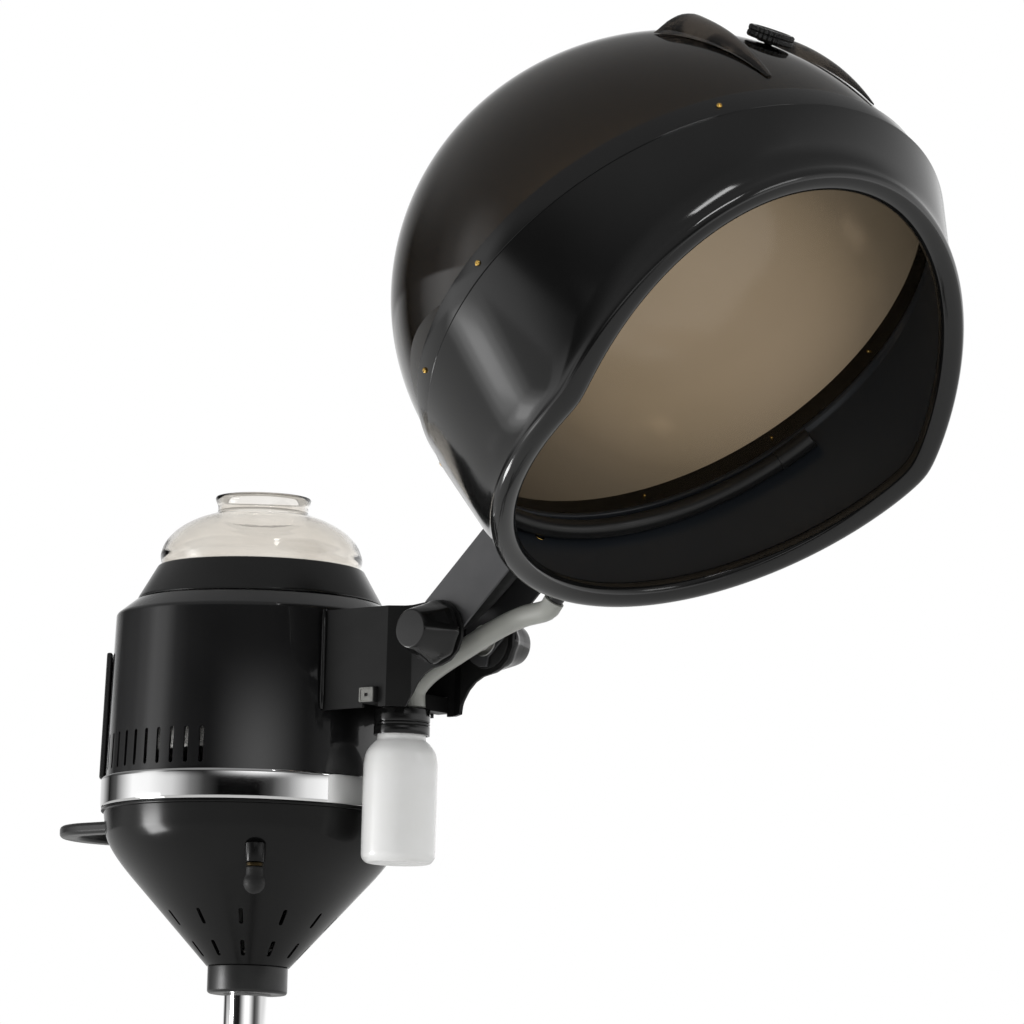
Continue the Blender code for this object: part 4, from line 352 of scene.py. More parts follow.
def pipe(path, radius, across, sides=24, taper=1.0):
    """A round rod along points that lie square to one direction, its ends tapered and rounded over."""
    inset, rise = 0.86, 0.06
    across = Vector(across).normalized()
    loops = []
    last = len(path) - 1
    for i, point in enumerate(path):
        ahead = (path[min(i + 1, last)] - path[max(i - 1, 0)]).normalized()
        up = ahead.cross(across)
        size = radius * (taper if i in (0, last) else 1.0)
        ring = [across * math.cos(math.tau * k / sides) + up * math.sin(math.tau * k / sides) for k in range(sides)]
        loops.append([point + way * size for way in ring])
        if i in (0, last):
            end = [point + way * size * inset + ahead * (-rise if i == 0 else rise) * radius for way in ring]
            loops.insert(0 if i == 0 else len(loops), end)
    return skin(loops)


def arc(centre, radius, start, end, count):
    """Points on an arc in a plane, ends included, with angles in degrees."""
    angles = [math.radians(start + (end - start) * i / count) for i in range(count + 1)]
    return [(centre[0] + radius * math.cos(a), centre[1] + radius * math.sin(a)) for a in angles]


def facing(point, direction):
    """A place whose Z axis points along a direction."""
    return Matrix.Translation(point) @ Vector(direction).to_track_quat("Z", "Y").to_matrix().to_4x4()


def merge(into, shape):
    """Adds one shape to another as a loose part."""
    bmesh.ops.recalc_face_normals(shape, faces=shape.faces)
    copies = {vert: into.verts.new(vert.co) for vert in shape.verts}
    for face in shape.faces:
        into.faces.new([copies[vert] for vert in face.verts])
    shape.free()


def meshed(shape, name, crease=CREASE):
    """The shape as a mesh with smooth faces and sharp creases."""
    bmesh.ops.remove_doubles(shape, verts=shape.verts, dist=WELD)
    bmesh.ops.recalc_face_normals(shape, faces=shape.faces)
    for face in shape.faces:
        face.smooth = True
    mesh = bpy.data.meshes.new(name)
    shape.to_mesh(mesh)
    shape.free()
    mesh.set_sharp_from_angle(angle=math.radians(crease))
    return mesh


def combined(mesh, tool, operation="DIFFERENCE"):
    """A mesh cut by or joined with another shape."""
    pair = [bpy.data.objects.new("combined", mesh), bpy.data.objects.new("tool", meshed(tool, "tool"))]
    for obj in pair:
        bpy.context.scene.collection.objects.link(obj)
    change = pair[0].modifiers.new("change", "BOOLEAN")
    change.operation = operation
    change.object = pair[1]
    change.solver = "EXACT"
    bpy.context.view_layer.update()
    done = bpy.data.meshes.new_from_object(pair[0].evaluated_get(bpy.context.evaluated_depsgraph_get()))
    for obj in pair:
        bpy.data.objects.remove(obj)
    done.set_sharp_from_angle(angle=math.radians(CREASE))
    return done


def bevelled(obj, width, segments=3):
    """Rounds the sharp edges of a piece by this width."""
    edge = obj.modifiers.new("rounded_edges", "BEVEL")
    edge.width = width
    edge.segments = segments
    edge.limit_method = "ANGLE"
    edge.angle_limit = math.radians(CREASE)
    edge.harden_normals = True
    return obj


def piece(name, shape, finish, body, slot, *nodes, crease=CREASE):
    """A visible piece that rides on a body, and stands for CAD nodes where it is given any."""
    mesh = shape if isinstance(shape, bpy.types.Mesh) else meshed(shape, name, crease)
    obj = bpy.data.objects.new(name, mesh)
    bpy.context.scene.collection.objects.link(obj)
    mesh.materials.clear()
    mesh.materials.append(finish)
    if nodes:
        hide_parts(*nodes)
    if body:
        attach(obj, body)
    return obj


def stand_in(node, shape, finish=None, crease=CREASE):
    """A finer piece in a CAD node's place, on its body and with its slot's finish or a named one."""
    slot = SLOT_OF[node]
    return piece(f"{node}_fine", shape, FINISH[finish or slot], BODY_OF[node], slot, node, crease=crease)


def cad_profile(node, place):
    """The outline of a turned CAD node round a place's Z axis, and whether it is closed."""
    same_spot, off_axis = 4e-5, 1e-5
    mesh = NODES[node].data
    back = place.inverted()
    spots, index = [], []
    for vert in mesh.vertices:
        local = back @ vert.co
        spot = Vector((math.hypot(local.x, local.y), local.z))
        near = next((i for i, known in enumerate(spots) if (known - spot).length < same_spot), None)
        if near is None:
            near = len(spots)
            spots.append(spot)
        index.append(near)
    links = {i: [] for i in range(len(spots))}
    for edge in mesh.edges:
        a, b = index[edge.vertices[0]], index[edge.vertices[1]]
        if a != b and b not in links[a]:
            links[a].append(b)
            links[b].append(a)
    ends = [i for i, near in links.items() if len(near) == 1]
    walk = [ends[0] if ends else 0]
    while True:
        ahead = [i for i in links[walk[-1]] if i not in walk]
        if not ahead:
            break
        walk.append(ahead[0])
    outline = [tuple(spots[i]) for i in walk]
    if ends:
        outline = [(0.0, outline[0][1])] * (outline[0][0] > off_axis) + outline
        outline = outline + [(0.0, outline[-1][1])] * (outline[-1][0] > off_axis)
    return outline, not ends


def refined(node, place=Matrix(), corner=0.0006, steps=72, wobble=None, finish=None):
    """A turned CAD node made round, with its corners eased."""
    outline, closed = cad_profile(node, place)
    stand_in(node, lathe(eased(outline, corner, closed=closed), place, steps, closed, wobble), finish)


def softened(node, width, finish=None):
    """A CAD node's own flat shape with its edges rounded."""
    shape = bmesh.new()
    shape.from_mesh(NODES[node].data)
    bmesh.ops.remove_doubles(shape, verts=shape.verts, dist=WELD)
    bmesh.ops.dissolve_limit(shape, angle_limit=math.radians(0.5), verts=shape.verts, edges=shape.edges)
    bevelled(stand_in(node, shape, finish), width)


# Finishes

SPREAD = (0.22, 0.78)                  # the part of a noise that runs from one tone or gloss to the other
PATCH_DETAIL, SMEAR_DETAIL, GRAIN_DETAIL = 5.0, 6.0, 2.0
FACTOR, FIRST, SECOND, MIXED = 0, 6, 7, 2  # a colour Mix node's sockets, whose names repeat
SMOOTH = {"interpolation_type": "SMOOTHSTEP"}
COLOUR = {"data_type": "RGBA"}


def linear(code):
    """An sRGB hex colour as linear red, green and blue with full alpha."""
    parts = [int(code[i:i + 2], 16) / 255 for i in (1, 3, 5)]
    return (*[c / 12.92 if c <= 0.04045 else ((c + 0.055) / 1.055) ** 2.4 for c in parts], 1.0)


def per_metre(millimetres):
    """The texture scale at which one feature of a pattern is that many millimetres across."""
    return 1000.0 / millimetres


def add_node(tree, kind, inputs=None, **settings):
    """One shader node with its settings, its inputs set or linked."""
    made = tree.nodes.new("ShaderNode" + kind)
    for name, value in settings.items():
        setattr(made, name, value)
    for name, value in (inputs or {}).items():
        if isinstance(value, bpy.types.NodeSocket):
            tree.links.new(value, made.inputs[name])
        else:
            made.inputs[name].default_value = value
    return made


def set_stops(ramp, stops):
    """Gives a colour ramp these stops, as pairs of place and colour."""
    while len(ramp.elements) < len(stops):
        ramp.elements.new(0.5)
    for stop, (place, colour) in zip(ramp.elements, stops):
        stop.position = place
        stop.color = colour


def finish_of(name, sockets, tones, patch, gloss, smear, grain, depth, stretch=(1.0, 1.0, 1.0)):
    """A finish whose colour drifts between two tones over patches, with uneven gloss and a fine relief.

    patch, smear and grain are feature sizes in millimetres, depth is the relief's height in millimetres.
    """
    material = bpy.data.materials.new(name)
    material.use_nodes = True
    tree = material.node_tree
    shader = tree.nodes["Principled BSDF"]
    for socket, value in sockets.items():
        shader.inputs[socket].default_value = value
    spot = add_node(tree, "TexCoord").outputs["Object"]
    along = add_node(tree, "Mapping", {"Vector": spot, "Scale": stretch}).outputs["Vector"]
    drift, handling, texture = [
        add_node(tree, "TexNoise", {"Vector": way, "Scale": per_metre(size), "Detail": detail}).outputs["Fac"]
        for way, size, detail in ((spot, patch, PATCH_DETAIL), (along, smear, SMEAR_DETAIL),
                                  (along, grain, GRAIN_DETAIL))]
    tone = add_node(tree, "ValToRGB", {"Fac": drift})
    tone.color_ramp.interpolation = "EASE"
    set_stops(tone.color_ramp, [(place, linear(code)) for place, code in zip(SPREAD, tones)])
    shine = add_node(tree, "MapRange", {"Value": handling, "From Min": SPREAD[0], "From Max": SPREAD[1],
                                        "To Min": gloss[0], "To Max": gloss[1]}, **SMOOTH)
    relief = add_node(tree, "Bump", {"Height": texture, "Strength": 1.0, "Distance": depth / 1000})
    tree.links.new(tone.outputs["Color"], shader.inputs["Base Color"])
    tree.links.new(shine.outputs["Result"], shader.inputs["Roughness"])
    tree.links.new(relief.outputs["Normal"], shader.inputs["Normal"])
    return material


def solid(ior, level):
    """The sockets of a plastic, paint or rubber: how it bends light and how strongly it mirrors."""
    return {"IOR": ior, "Specular IOR Level": level}


def clear(ior, through=1.0):
    """The sockets of glass or clear plastic, with the share of light that goes through."""
    return {"IOR": ior, "Transmission Weight": through}


METAL = {"Metallic": 1.0}
CLOUDY = {"Subsurface Radius": (0.004, 0.004, 0.004), "Subsurface Scale": 1.0}
SMOKE = {"tones": ("#86765f", "#8b7b66"), "patch": 160, "smear": 50, "grain": 60.0, "depth": 0.006}

FINISH = {
    # Sprayed enamel under clear lacquer on sheet steel: a mirror over a softer, faintly grainy sheen
    "enamel": finish_of(
        "gloss_black_enamel", {**solid(1.5, 0.16), "Coat Weight": 1.0, "Coat Roughness": 0.05},
        tones=("#0b0b0c", "#0f0f10"), patch=70, gloss=(0.36, 0.44), smear=45, grain=1.2, depth=0.006),
    # Polished ABS from a bright mould: deep gloss, softer than paint
    "black_abs": finish_of(
        "polished_black_abs", solid(1.52, 0.45),
        tones=("#121212", "#161616"), patch=90, gloss=(0.09, 0.14), smear=60, grain=2.0, depth=0.002),
    # Phenolic resin in small knobs and caps, buffed bright: a clear mirror on black
    "bright_black": finish_of(
        "buffed_black_phenolic", solid(1.6, 0.3),
        tones=("#111111", "#161616"), patch=20, gloss=(0.10, 0.16), smear=12, grain=1.5, depth=0.002),
    # Polypropylene from a smooth mould: even, with a soft mirror
    "ring_black": finish_of(
        "smooth_black_polypropylene", solid(1.49, 0.42),
        tones=("#161616", "#1a1a1a"), patch=60, gloss=(0.18, 0.24), smear=40, grain=1.0, depth=0.003),
    # The hood ring's inside, left as the mould gave it: an even satin, in a lighter, cooler grey than the outside,
    # which is painted light
    "inner_satin_painted_light": finish_of(
        "satin_black_abs_painted_light", solid(1.52, 0.4),
        tones=("#24282d", "#272b30"), patch=160, gloss=(0.28, 0.32), smear=120, grain=0.8, depth=0.002),
    # Polypropylene from a half-polished mould: dark, with soft broad highlights
    "bowl_black": finish_of(
        "half_polished_black_polypropylene", solid(1.49, 0.26),
        tones=("#0c0c0c", "#101010"), patch=60, gloss=(0.16, 0.22), smear=40, grain=1.0, depth=0.004),
    # Bright zinc on cut steel: mid grey with fine dull patches
    "zinc": finish_of(
        "bright_zinc_plate", METAL,
        tones=("#6f6f6d", "#83837f"), patch=4, gloss=(0.40, 0.52), smear=3, grain=0.5, depth=0.006),
    # Polypropylene from an etched mould: a fine even grain that spreads the light
    "moulded_black": finish_of(
        "moulded_black_polypropylene", solid(1.49, 0.45),
        tones=("#191919", "#1f1f1f"), patch=40, gloss=(0.28, 0.38), smear=25, grain=0.6, depth=0.006),
    # Powder coat on folded steel: dull, with a pebbled skin drawn coarser than the real grit
    "satin_sheet": finish_of(
        "satin_black_powder_coat", solid(1.5, 0.16),
        tones=("#181818", "#1d1d1d"), patch=30, gloss=(0.34, 0.44), smear=20, grain=0.9, depth=0.008),
    # Powder coat over cast aluminium: the same skin over a slightly wavy casting
    "cast_alloy": finish_of(
        "black_coated_cast_aluminium", solid(1.5, 0.4),
        tones=("#1a1a1a", "#212121"), patch=35, gloss=(0.38, 0.5), smear=30, grain=1.4, depth=0.020),
    # Dark grey stoved paint on the arm's steel channel: satin, slightly metallic in its sheen
    "grey_sheet": finish_of(
        "dark_grey_stoved_paint", {"IOR": 1.5, "Metallic": 0.35},
        tones=("#48484a", "#535354"), patch=35, gloss=(0.30, 0.40), smear=30, grain=1.2, depth=0.006),
    # Moulded rubber: nearly no gloss, greyer where it is handled
    "rubber": finish_of(
        "black_nitrile_rubber", solid(1.52, 0.35),
        tones=("#131313", "#1c1c1c"), patch=8, gloss=(0.55, 0.72), smear=6, grain=0.5, depth=0.020),
    # Chrome plate on polished steel: a mirror with faint wiping marks
    "chrome": finish_of(
        "bright_chrome_plate", METAL,
        tones=("#dedede", "#e6e6e6"), patch=120, gloss=(0.025, 0.06), smear=30, grain=25.0, depth=0.002),
    # Spun stainless steel: fine turning lines round the axis, drawn wider than they are
    "steel": finish_of(
        "spun_stainless_steel", METAL, stretch=(0.15, 0.15, 1.0),
        tones=("#b9b8b5", "#c6c5c2"), patch=40, gloss=(0.22, 0.34), smear=12, grain=0.8, depth=0.004),
    # Turned brass, lacquered: warm yellow with darker tarnish in patches
    "brass": finish_of(
        "turned_brass", METAL,
        tones=("#cfa450", "#e6c272"), patch=3, gloss=(0.14, 0.24), smear=2, grain=0.4, depth=0.003),
    # Brass in dark brown tones, far darker than the turned brass, with little shine
    "dark_brass": finish_of(
        "dark_brown_brass", METAL,
        tones=("#2a2418", "#3d3321"), patch=3, gloss=(0.36, 0.5), smear=2, grain=0.4, depth=0.006),
    # Blow-moulded polyethylene: milky, lets a little light through, waxy gloss
    "milky_plastic": finish_of(
        "milky_blown_polyethylene", {**clear(1.54, 0.05), **CLOUDY, "Subsurface Weight": 0.15},
        tones=("#fafaf8", "#fdfdfc"), patch=18, gloss=(0.18, 0.26), smear=15, grain=3.0, depth=0.010),
    # Extruded silicone tube: cloudy grey, rubbery shine
    "silicone": finish_of(
        "cloudy_silicone_tube", {**clear(1.41, 0.30), **CLOUDY, "Subsurface Weight": 0.2},
        tones=("#bbbcb6", "#c0c1bb"), patch=30, gloss=(0.30, 0.33), smear=25, grain=2.0, depth=0.004),
    # Acrylic dyed smoke brown and drawn over a form: clear, polished, a little wavy
    "smoked_acrylic": finish_of("smoked_brown_acrylic", clear(1.49), gloss=(0.02, 0.035), **SMOKE),
    # The inside of the same sheet, dulled by years of steam and lime: no clear mirror image is left
    "dull_acrylic": finish_of("lime_dulled_smoked_acrylic", clear(1.49), gloss=(0.15, 0.20), **SMOKE),
    # The same sheet moulded thick, so that hardly any light comes through
    "dark_smoke": finish_of(
        "thick_smoked_acrylic", clear(1.49),
        tones=("#37312b", "#3f3932"), patch=20, gloss=(0.10, 0.18), smear=15, grain=2.0, depth=0.004),
    # Blown soda glass with a faint warm tint and slow ripples from the mould
    "clear_glass": finish_of(
        "blown_soda_glass", clear(1.52),
        tones=("#eeeae4", "#f4f1ec"), patch=40, gloss=(0.0, 0.015), smear=30, grain=14.0, depth=0.060),
    # Amber polycarbonate lens over the pilot lamp: half clear, with a moulded shine
    "lens": finish_of(
        "amber_polycarbonate", clear(1.58, 0.5),
        tones=("#b4621a", "#c9741f"), patch=3, gloss=(0.10, 0.18), smear=2, grain=0.6, depth=0.004),
    # Screen-printed marks on the panel: flat white ink with slightly ragged cover
    "print_ink": finish_of(
        "white_screen_ink", {"IOR": 1.5},
        tones=("#d4d4d0", "#e4e4e0"), patch=1, gloss=(0.45, 0.6), smear=2, grain=0.4, depth=0.004),
}

# What is left of the light through the smoked sheet, from seen face on, 0, to edge on, 1
SMOKE_SLANTS = ((0.0, "#ffffff"), (0.10, "#e1e1e1"), (0.23, "#939496"), (0.32, "#787b7f"), (0.50, "#65676a"),
                (1.0, "#505254"))


def darker_aslant(material, slants):
    """Lets less light through a smoked sheet the more aslant it is seen; slants are pairs of slant and tint."""
    tree = material.node_tree
    shade = tree.nodes["Principled BSDF"].inputs["Base Color"]
    slant = add_node(tree, "LayerWeight", {"Blend": 0.5})
    dimming = add_node(tree, "ValToRGB", {"Fac": slant.outputs["Facing"]})
    set_stops(dimming.color_ramp, [(place, linear(code)) for place, code in slants])
    dimmed = add_node(tree, "Mix", {FACTOR: 1.0, FIRST: shade.links[0].from_socket, SECOND: dimming.outputs["Color"]},
                      blend_type="MULTIPLY", **COLOUR)
    tree.links.new(dimmed.outputs[MIXED], shade)


for sheet in ("smoked_acrylic", "dull_acrylic"):
    darker_aslant(FINISH[sheet], SMOKE_SLANTS)


# Camera

def set_camera():
    """The photograph's camera from its place, azimuth, pitch and roll."""
    azimuth, pitch, roll = (math.radians(a) for a in (CAMERA_AZIMUTH, CAMERA_PITCH, CAMERA_ROLL))
    right = Vector((math.cos(azimuth), math.sin(azimuth), 0.0))
    toward = Vector((math.sin(azimuth), -math.cos(azimuth), 0.0))
    rise = Vector((0.0, 0.0, 1.0))
    up = rise * math.cos(pitch) + toward * math.sin(pitch)
    back = toward * math.cos(pitch) - rise * math.sin(pitch)
    axes = (right * math.cos(roll) + up * math.sin(roll), up * math.cos(roll) - right * math.sin(roll), back)
    data = bpy.data.cameras.new("photo_camera")
    data.lens = CAMERA_LENS
    data.sensor_width = CAMERA_SENSOR
    camera = bpy.data.objects.new("photo_camera", data)
    camera.matrix_world = Matrix.Translation(CAMERA_PLACE) @ Matrix(axes).transposed().to_4x4()
    bpy.context.scene.collection.objects.link(camera)
    bpy.context.scene.camera = camera


set_camera()


# Hoses: both leave the unit and curve into the hood at its present tilt

def hood_spot(x, y, z):
    return HOOD_PLACE @ Vector((x, y, z))


def nape_fitting(depth, flange, length):
    """The tip of a fitting on the ring's outside at the nape, given its depth, its flange's radius and its length."""
    low = RIM_SHIFT - RIM_HALF[0] - RIM_RADIUS
    top = -HOOD_HALF[0] - VISOR_STEP
    wall = top + (low - top) * (depth + flange - FLANGE_DEPTH) / (RIM_DEPTHS[0] - FLANGE_DEPTH)
    return hood_spot(wall - FIT - length, 0, -depth)


def hose(node, start, lead, route, tail, end, radius):
    """A tube over a route, straight for a lead from its start in the unit and for a tail to its end in the hood."""
    along = (HOOD_PLACE.to_3x3() @ Vector((1, 0, 0))).normalized()
    points = [start, start + Vector(lead)] + [PIVOT + Vector((x, 0, z)) for x, z in route]
    path = flowing(points + [end - along * tail, end], HOSE_SPACING)
    slot = SLOT_OF[node]
    tube = piece(f"{node}_fine", pipe(path, radius, (0, 1, 0)), FINISH[slot], None, slot, node)
    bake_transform(tube)


hose("drain_hose", start=Vector((BARB_X, 0.0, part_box("bottle_bar")[0].z + FIT)), lead=(0, 0, 0.0125),
     route=DRAIN_ROUTE, tail=0.010, end=nape_fitting(SPIGOT_DEPTH, flange=0.0092, length=0.0126), radius=0.0080)
hose("steam_hose", start=OUTLET_TIP, lead=(0.015, 0, 0),
     route=STEAM_ROUTE, tail=0.016, end=nape_fitting(PIPE_DEPTH, flange=0.0095, length=0.0106), radius=0.0085)


# Lower bowl, band, shell and jar

def cone_radius(rise):
    """The outside of the bowl's cone at this height above its foot."""
    return BOWL_FOOT_RADIUS + (BOWL_CONE[0] - BOWL_FOOT_RADIUS) * rise / BOWL_CONE[1]


def bowl():
    """The vented cone with a bead under the band, a drain boss and two rings of slots."""
    bead = BAND_RADIUS - BEAD_INSET
    side = (BOWL_SIDE_RADIUS, BAND_LOW - BEAD_DROPS[1])
    corner = (BOWL_CONE[0], BOWL_FOOT + BOWL_CONE[1])
    slope = Vector((BOWL_CONE[0] - BOWL_FOOT_RADIUS, BOWL_CONE[1])).normalized()
    inset = BOWL_WALL / slope.y
    rim = [(BOWL_RIM_RADIUS, BOWL_TOP), (BOWL_RIM_RADIUS, BAND_LOW - FIT), (bead, BAND_LOW - FIT),
           (bead, BAND_LOW - BEAD_DROPS[0]), side]
    outside = [side, corner, (BOWL_FOOT_RADIUS, BOWL_FOOT)]
    inside = [(BOWL_SIDE_RADIUS - BOWL_WALL, side[1]), (corner[0] - BOWL_WALL, corner[1]),
              (BOWL_FOOT_RADIUS - inset + BOWL_WALL, BOWL_FOOT + BOWL_WALL)]
    outside, inside = (eased(run, BOWL_ROUND, count=14, closed=False) for run in (outside, inside))
    profile = eased(rim, reach=0.0006, closed=False)[:-1] + outside
    profile += vectors([(POLE_BORE, BOWL_FOOT), (POLE_BORE, BOWL_FOOT + BOWL_WALL), *reversed(inside),
                        (BOWL_RIM_RADIUS - BOWL_WALL, BAND_LOW), (BOWL_RIM_RADIUS - BOWL_WALL, BOWL_TOP)])
    mesh = meshed(lathe(profile, steps=192), "lower_bowl_fine")
    radius, low, high = DRAIN_BOSS
    boss = [(0, low), (radius, low), (radius + DRAIN_DRAFT, high), (0, high)]
    mesh = combined(mesh, turned(boss, corner=0.0008, place=Matrix.Translation(DRAIN_SPOT), steps=40), "UNION")
    tilt = Matrix.Rotation(-math.atan2(BOWL_CONE[1], BOWL_CONE[0] - BOWL_FOOT_RADIUS), 4, "Y")
    length, width = BOWL_SLOT
    half = width / 2
    end = length / 2 - half
    outline = arc((end, 0), half, -90, 90, count=6) + arc((-end, 0), half, 90, 270, count=6)
    cutters = bmesh.new()
    for rise in BOWL_SLOT_ROWS:
        for i in range(BOWL_SLOTS):
            turn = Matrix.Rotation(math.tau * (i + BOWL_SLOT_TURN) / BOWL_SLOTS, 4, "Z")
            place = turn @ Matrix.Translation((cone_radius(rise), 0, BOWL_FOOT + rise)) @ tilt
            merge(cutters, plate(outline, 2 * SLOT_CUT, place @ Matrix.Translation((0, 0, -SLOT_CUT))))
    stand_in("lower_bowl", combined(mesh, cutters), "bowl_black")


def shell():
    """The enamelled drum with a rolled shoulder and upright vents at both sides."""
    lip = SHELL_HIGH - SHELL_WALL
    outer = [(SHELL_MOUTH_RADIUS, SHELL_HIGH), (RING_FOOT_RADIUS + SHELL_SETBACK, SHELL_HIGH),
             (SHELL_TOP_RADIUS - SHELL_SETBACK, SHELL_SHOULDER + SHELL_SETBACK), (SHELL_FOOT_RADIUS, SHELL_LOW)]
    inner = [(SHELL_FOOT_RADIUS - SHELL_WALL, SHELL_LOW), (SHELL_TOP_RADIUS - SHELL_WALL, SHELL_SHOULDER - SHELL_WALL),
             (RING_FOOT_RADIUS, lip), (SHELL_MOUTH_RADIUS, lip)]
    profile = eased(outer, reach=0.0022, count=6, closed=False) + vectors(inner)
    mesh = meshed(lathe(profile, steps=224), "body_shell_fine")
    half = VENT_WIDTH / 2
    outline = arc((0, VENT_SPAN[1] - half), half, 0, 180, count=8)
    outline += arc((0, VENT_SPAN[0] + half), half, 180, 360, count=8)
    cutters = bmesh.new()
    for side in (1, -1):
        for i in range(VENTS):
            turn = Matrix.Rotation(side * (VENT_FIRST + i * VENT_PITCH), 4, "Z")
            merge(cutters, skin([[turn @ Vector((reach, y, z)) for y, z in outline] for reach in VENT_CUT]))
    stand_in("body_shell", combined(mesh, cutters))


def jar():
    """The squat glass bulb: skirt in the ring, wide belly, short neck with a flared lip."""
    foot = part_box("glass_jar")[0].z + JAR_LIFT
    side = flowing(JAR_SIDE, spacing=0.002)
    outer = vectors(JAR_LIP) + side + [Vector((JAR_SKIRT_RADIUS, foot))]
    inner = [Vector((JAR_SKIRT_RADIUS - JAR_WALL, foot))]
    inward, down = (JAR_WALL * share for share in JAR_BELLY)
    inner += [Vector((point.x - inward, point.y - down)) for point in reversed(side)]
    stand_in("glass_jar", lathe(outer + inner + vectors(JAR_NECK_INSIDE), steps=160), crease=50)


def unit_fittings():
    """The round pieces of the steam unit and its stand."""
    for node in ("pole_socket", "jar_gasket", "thermostat"):
        refined(node)
    refined("pole_collar", corner=0.0009, finish="moulded_black")
    refined("chrome_band", corner=0.0012, steps=224)
    refined("top_ring", corner=0.0014, steps=192, finish="ring_black")
    refined("upper_pole")
    refined("drain_nipple", Matrix.Translation(DRAIN_SPOT), corner=0.0008, steps=40, finish="dark_brass")
    refined("drain_cap", Matrix.Translation(DRAIN_SPOT), corner=0.0012, steps=40)
    refined("steam_outlet", facing((0, 0, OUTLET_HEIGHT), (1, 0, 0)), steps=40)
    low, high = (corner.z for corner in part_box("boiler_tank"))
    inside, outside, lip = TANK_RADII
    tank = [(0, low + TANK_WALL), (inside, low + TANK_WALL), (inside, high), (lip, high), (lip, high - TANK_WALL),
            (outside, high - TANK_WALL), (outside, low), (0, low)]
    stand_in("boiler_tank", turned(tank, corner=0.004))
    low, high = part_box("lower_tube")
    tube = [(high.x, high.z), (high.x, low.z), (POLE_BORE, low.z), (POLE_BORE, high.z)]
    stand_in("lower_tube", lathe(eased(tube, reach=0.0006)))


bowl()
shell()
jar()
unit_fittings()


# Catch bottle

def bottle():
    """The milky bottle, and its grooved cap with the hose barb."""
    low, high = (corner.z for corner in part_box("bottle"))
    axis = Matrix.Translation((BOTTLE_X, 0, 0))
    outline = lifted(BOTTLE_OUTLINE, low)
    outside = [Vector((outline[0][0], high))] + flowing(outline[BOTTLE_SHOULDER], spacing=0.0015)
    outside += vectors(outline[BOTTLE_SIDE]) + flowing(outline[BOTTLE_FOOT], spacing=0.0012)[1:] + vectors(outline[-1:])
    inside = [Vector((max(point.x - BOTTLE_WALL, 0.0), point.y + BOTTLE_WALL * (point.y < low + BOTTLE_FLOOR)))
              for point in reversed(outside)]
    stand_in("bottle", lathe(inside + outside, axis, closed=False), crease=60)
    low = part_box("bottle_cap")[0].z
    top = low + CAP_HEIGHT
    cap = [(0, top), (CAP_RADIUS - CAP_CHAMFER[0], top), (CAP_RADIUS, top - CAP_CHAMFER[1])]
    depth, half = CAP_GROOVE
    for drop in CAP_GROOVES:
        groove = top - drop
        cap += [(CAP_RADIUS, groove + half), (CAP_RADIUS - depth, groove), (CAP_RADIUS, groove - half)]
    cap += [(CAP_RADIUS, low), (CAP_BORE, low), (CAP_BORE, top - CAP_TOP_WALL), (0, top - CAP_TOP_WALL)]
    mesh = meshed(turned(cap, corner=0.0004, place=axis, steps=120, count=2), "bottle_cap_fine")
    barb = turned(lifted(BARB_OUTLINE, top), corner=0.0004, place=Matrix.Translation((BARB_X, 0, 0)), steps=32)
    stand_in("bottle_cap", combined(mesh, barb, "UNION"), "bright_black")


bottle()


# Arm bracket, arm and knobs

def clamp_knob(node, place):
    """A flared knob with eight shallow lobes round its rim, on its stud."""
    outline = cad_profile(node, place)[0]
    face, end = max(z for r, z in outline), min(z for r, z in outline)
    knob = lifted(KNOB_OUTLINE, face)
    seat = knob[-1][1]
    stud = max(r for r, z in outline if z < seat - STUD_SEARCH)
    knob += [(stud, seat), (stud, end), (0, end)]
    lobes = ridged(count=8, depth=0.0006, inner=0.0180, run=0.0050)
    stand_in(node, turned(knob, corner=0.0012, place=place, steps=192, wobble=lobes), "bright_black")


def arm():
    """The folded sheet of the arm and its bracket, and the round pieces on the pivot."""
    softened("arm_bracket", width=0.0007)
    softened("bottle_bar", width=0.0006)
    softened("arm_channel", width=0.0011)
    softened("hood_saddle", width=0.0010, finish="moulded_black")
    for word in ("near", "far"):
        place = facing(PIVOT, JOINTS[f"clamp_{word}_turn"]["axis"])
        clamp_knob(f"clamp_knob_{word}", place)
        refined(f"friction_disc_{word}", place, steps=48)
        refined(f"pivot_nut_{word}", place, steps=48)


def trim(name, shape, finish, node):
    """A small piece that stands for no CAD node, on a node's body."""
    piece(name, shape, FINISH[finish], BODY_OF[node], SLOT_OF[node])


def bracket_trims():
    """The rolled rear edge of each cheek and the plated end of the bar with its tapped hole."""
    rolls = bmesh.new()
    low, high = (corner.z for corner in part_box("arm_bracket"))
    x, y, radius = ROLLED_EDGE
    foot, head = ROLLED_EDGE_ENDS
    steps = 12
    for side in (-1, 1):
        path = [Vector((x, side * y, low + foot + (high - low - foot - head) * i / steps)) for i in range(steps + 1)]
        merge(rolls, pipe(path, radius, (1, 0, 0), sides=20, taper=0.7))
    trim("bracket_rolled_edges", rolls, "black_abs", "arm_bracket")
    low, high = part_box("bottle_bar")
    middle = (low + high) / 2
    plates = bmesh.new()
    half = ((high.x - low.x) / 2 - BAR_PLATE_INSET, (high.z - low.z) / 2 - BAR_PLATE_INSET)
    for side, end in ((-1, low.y), (1, high.y)):
        place = facing((middle.x, end, middle.z), (0, side, 0))
        loops = [eased([(sx * half[0] * share, sy * half[1] * share, z)
                        for sx, sy in ((-1, -1), (1, -1), (1, 1), (-1, 1))], reach=0.0012)
                 for share, z in BAR_PLATE_RISES]
        for z in BAR_HOLE_RISES:
            loops.append([Vector((*(p.xy.normalized() * BAR_HOLE_RADIUS), z)) for p in loops[0]])
        merge(plates, skin([[place @ point for point in loop] for loop in loops], ring=True))
    trim("bar_end_plates", plates, "zinc", "bottle_bar")


arm()
bracket_trims()


# Hood

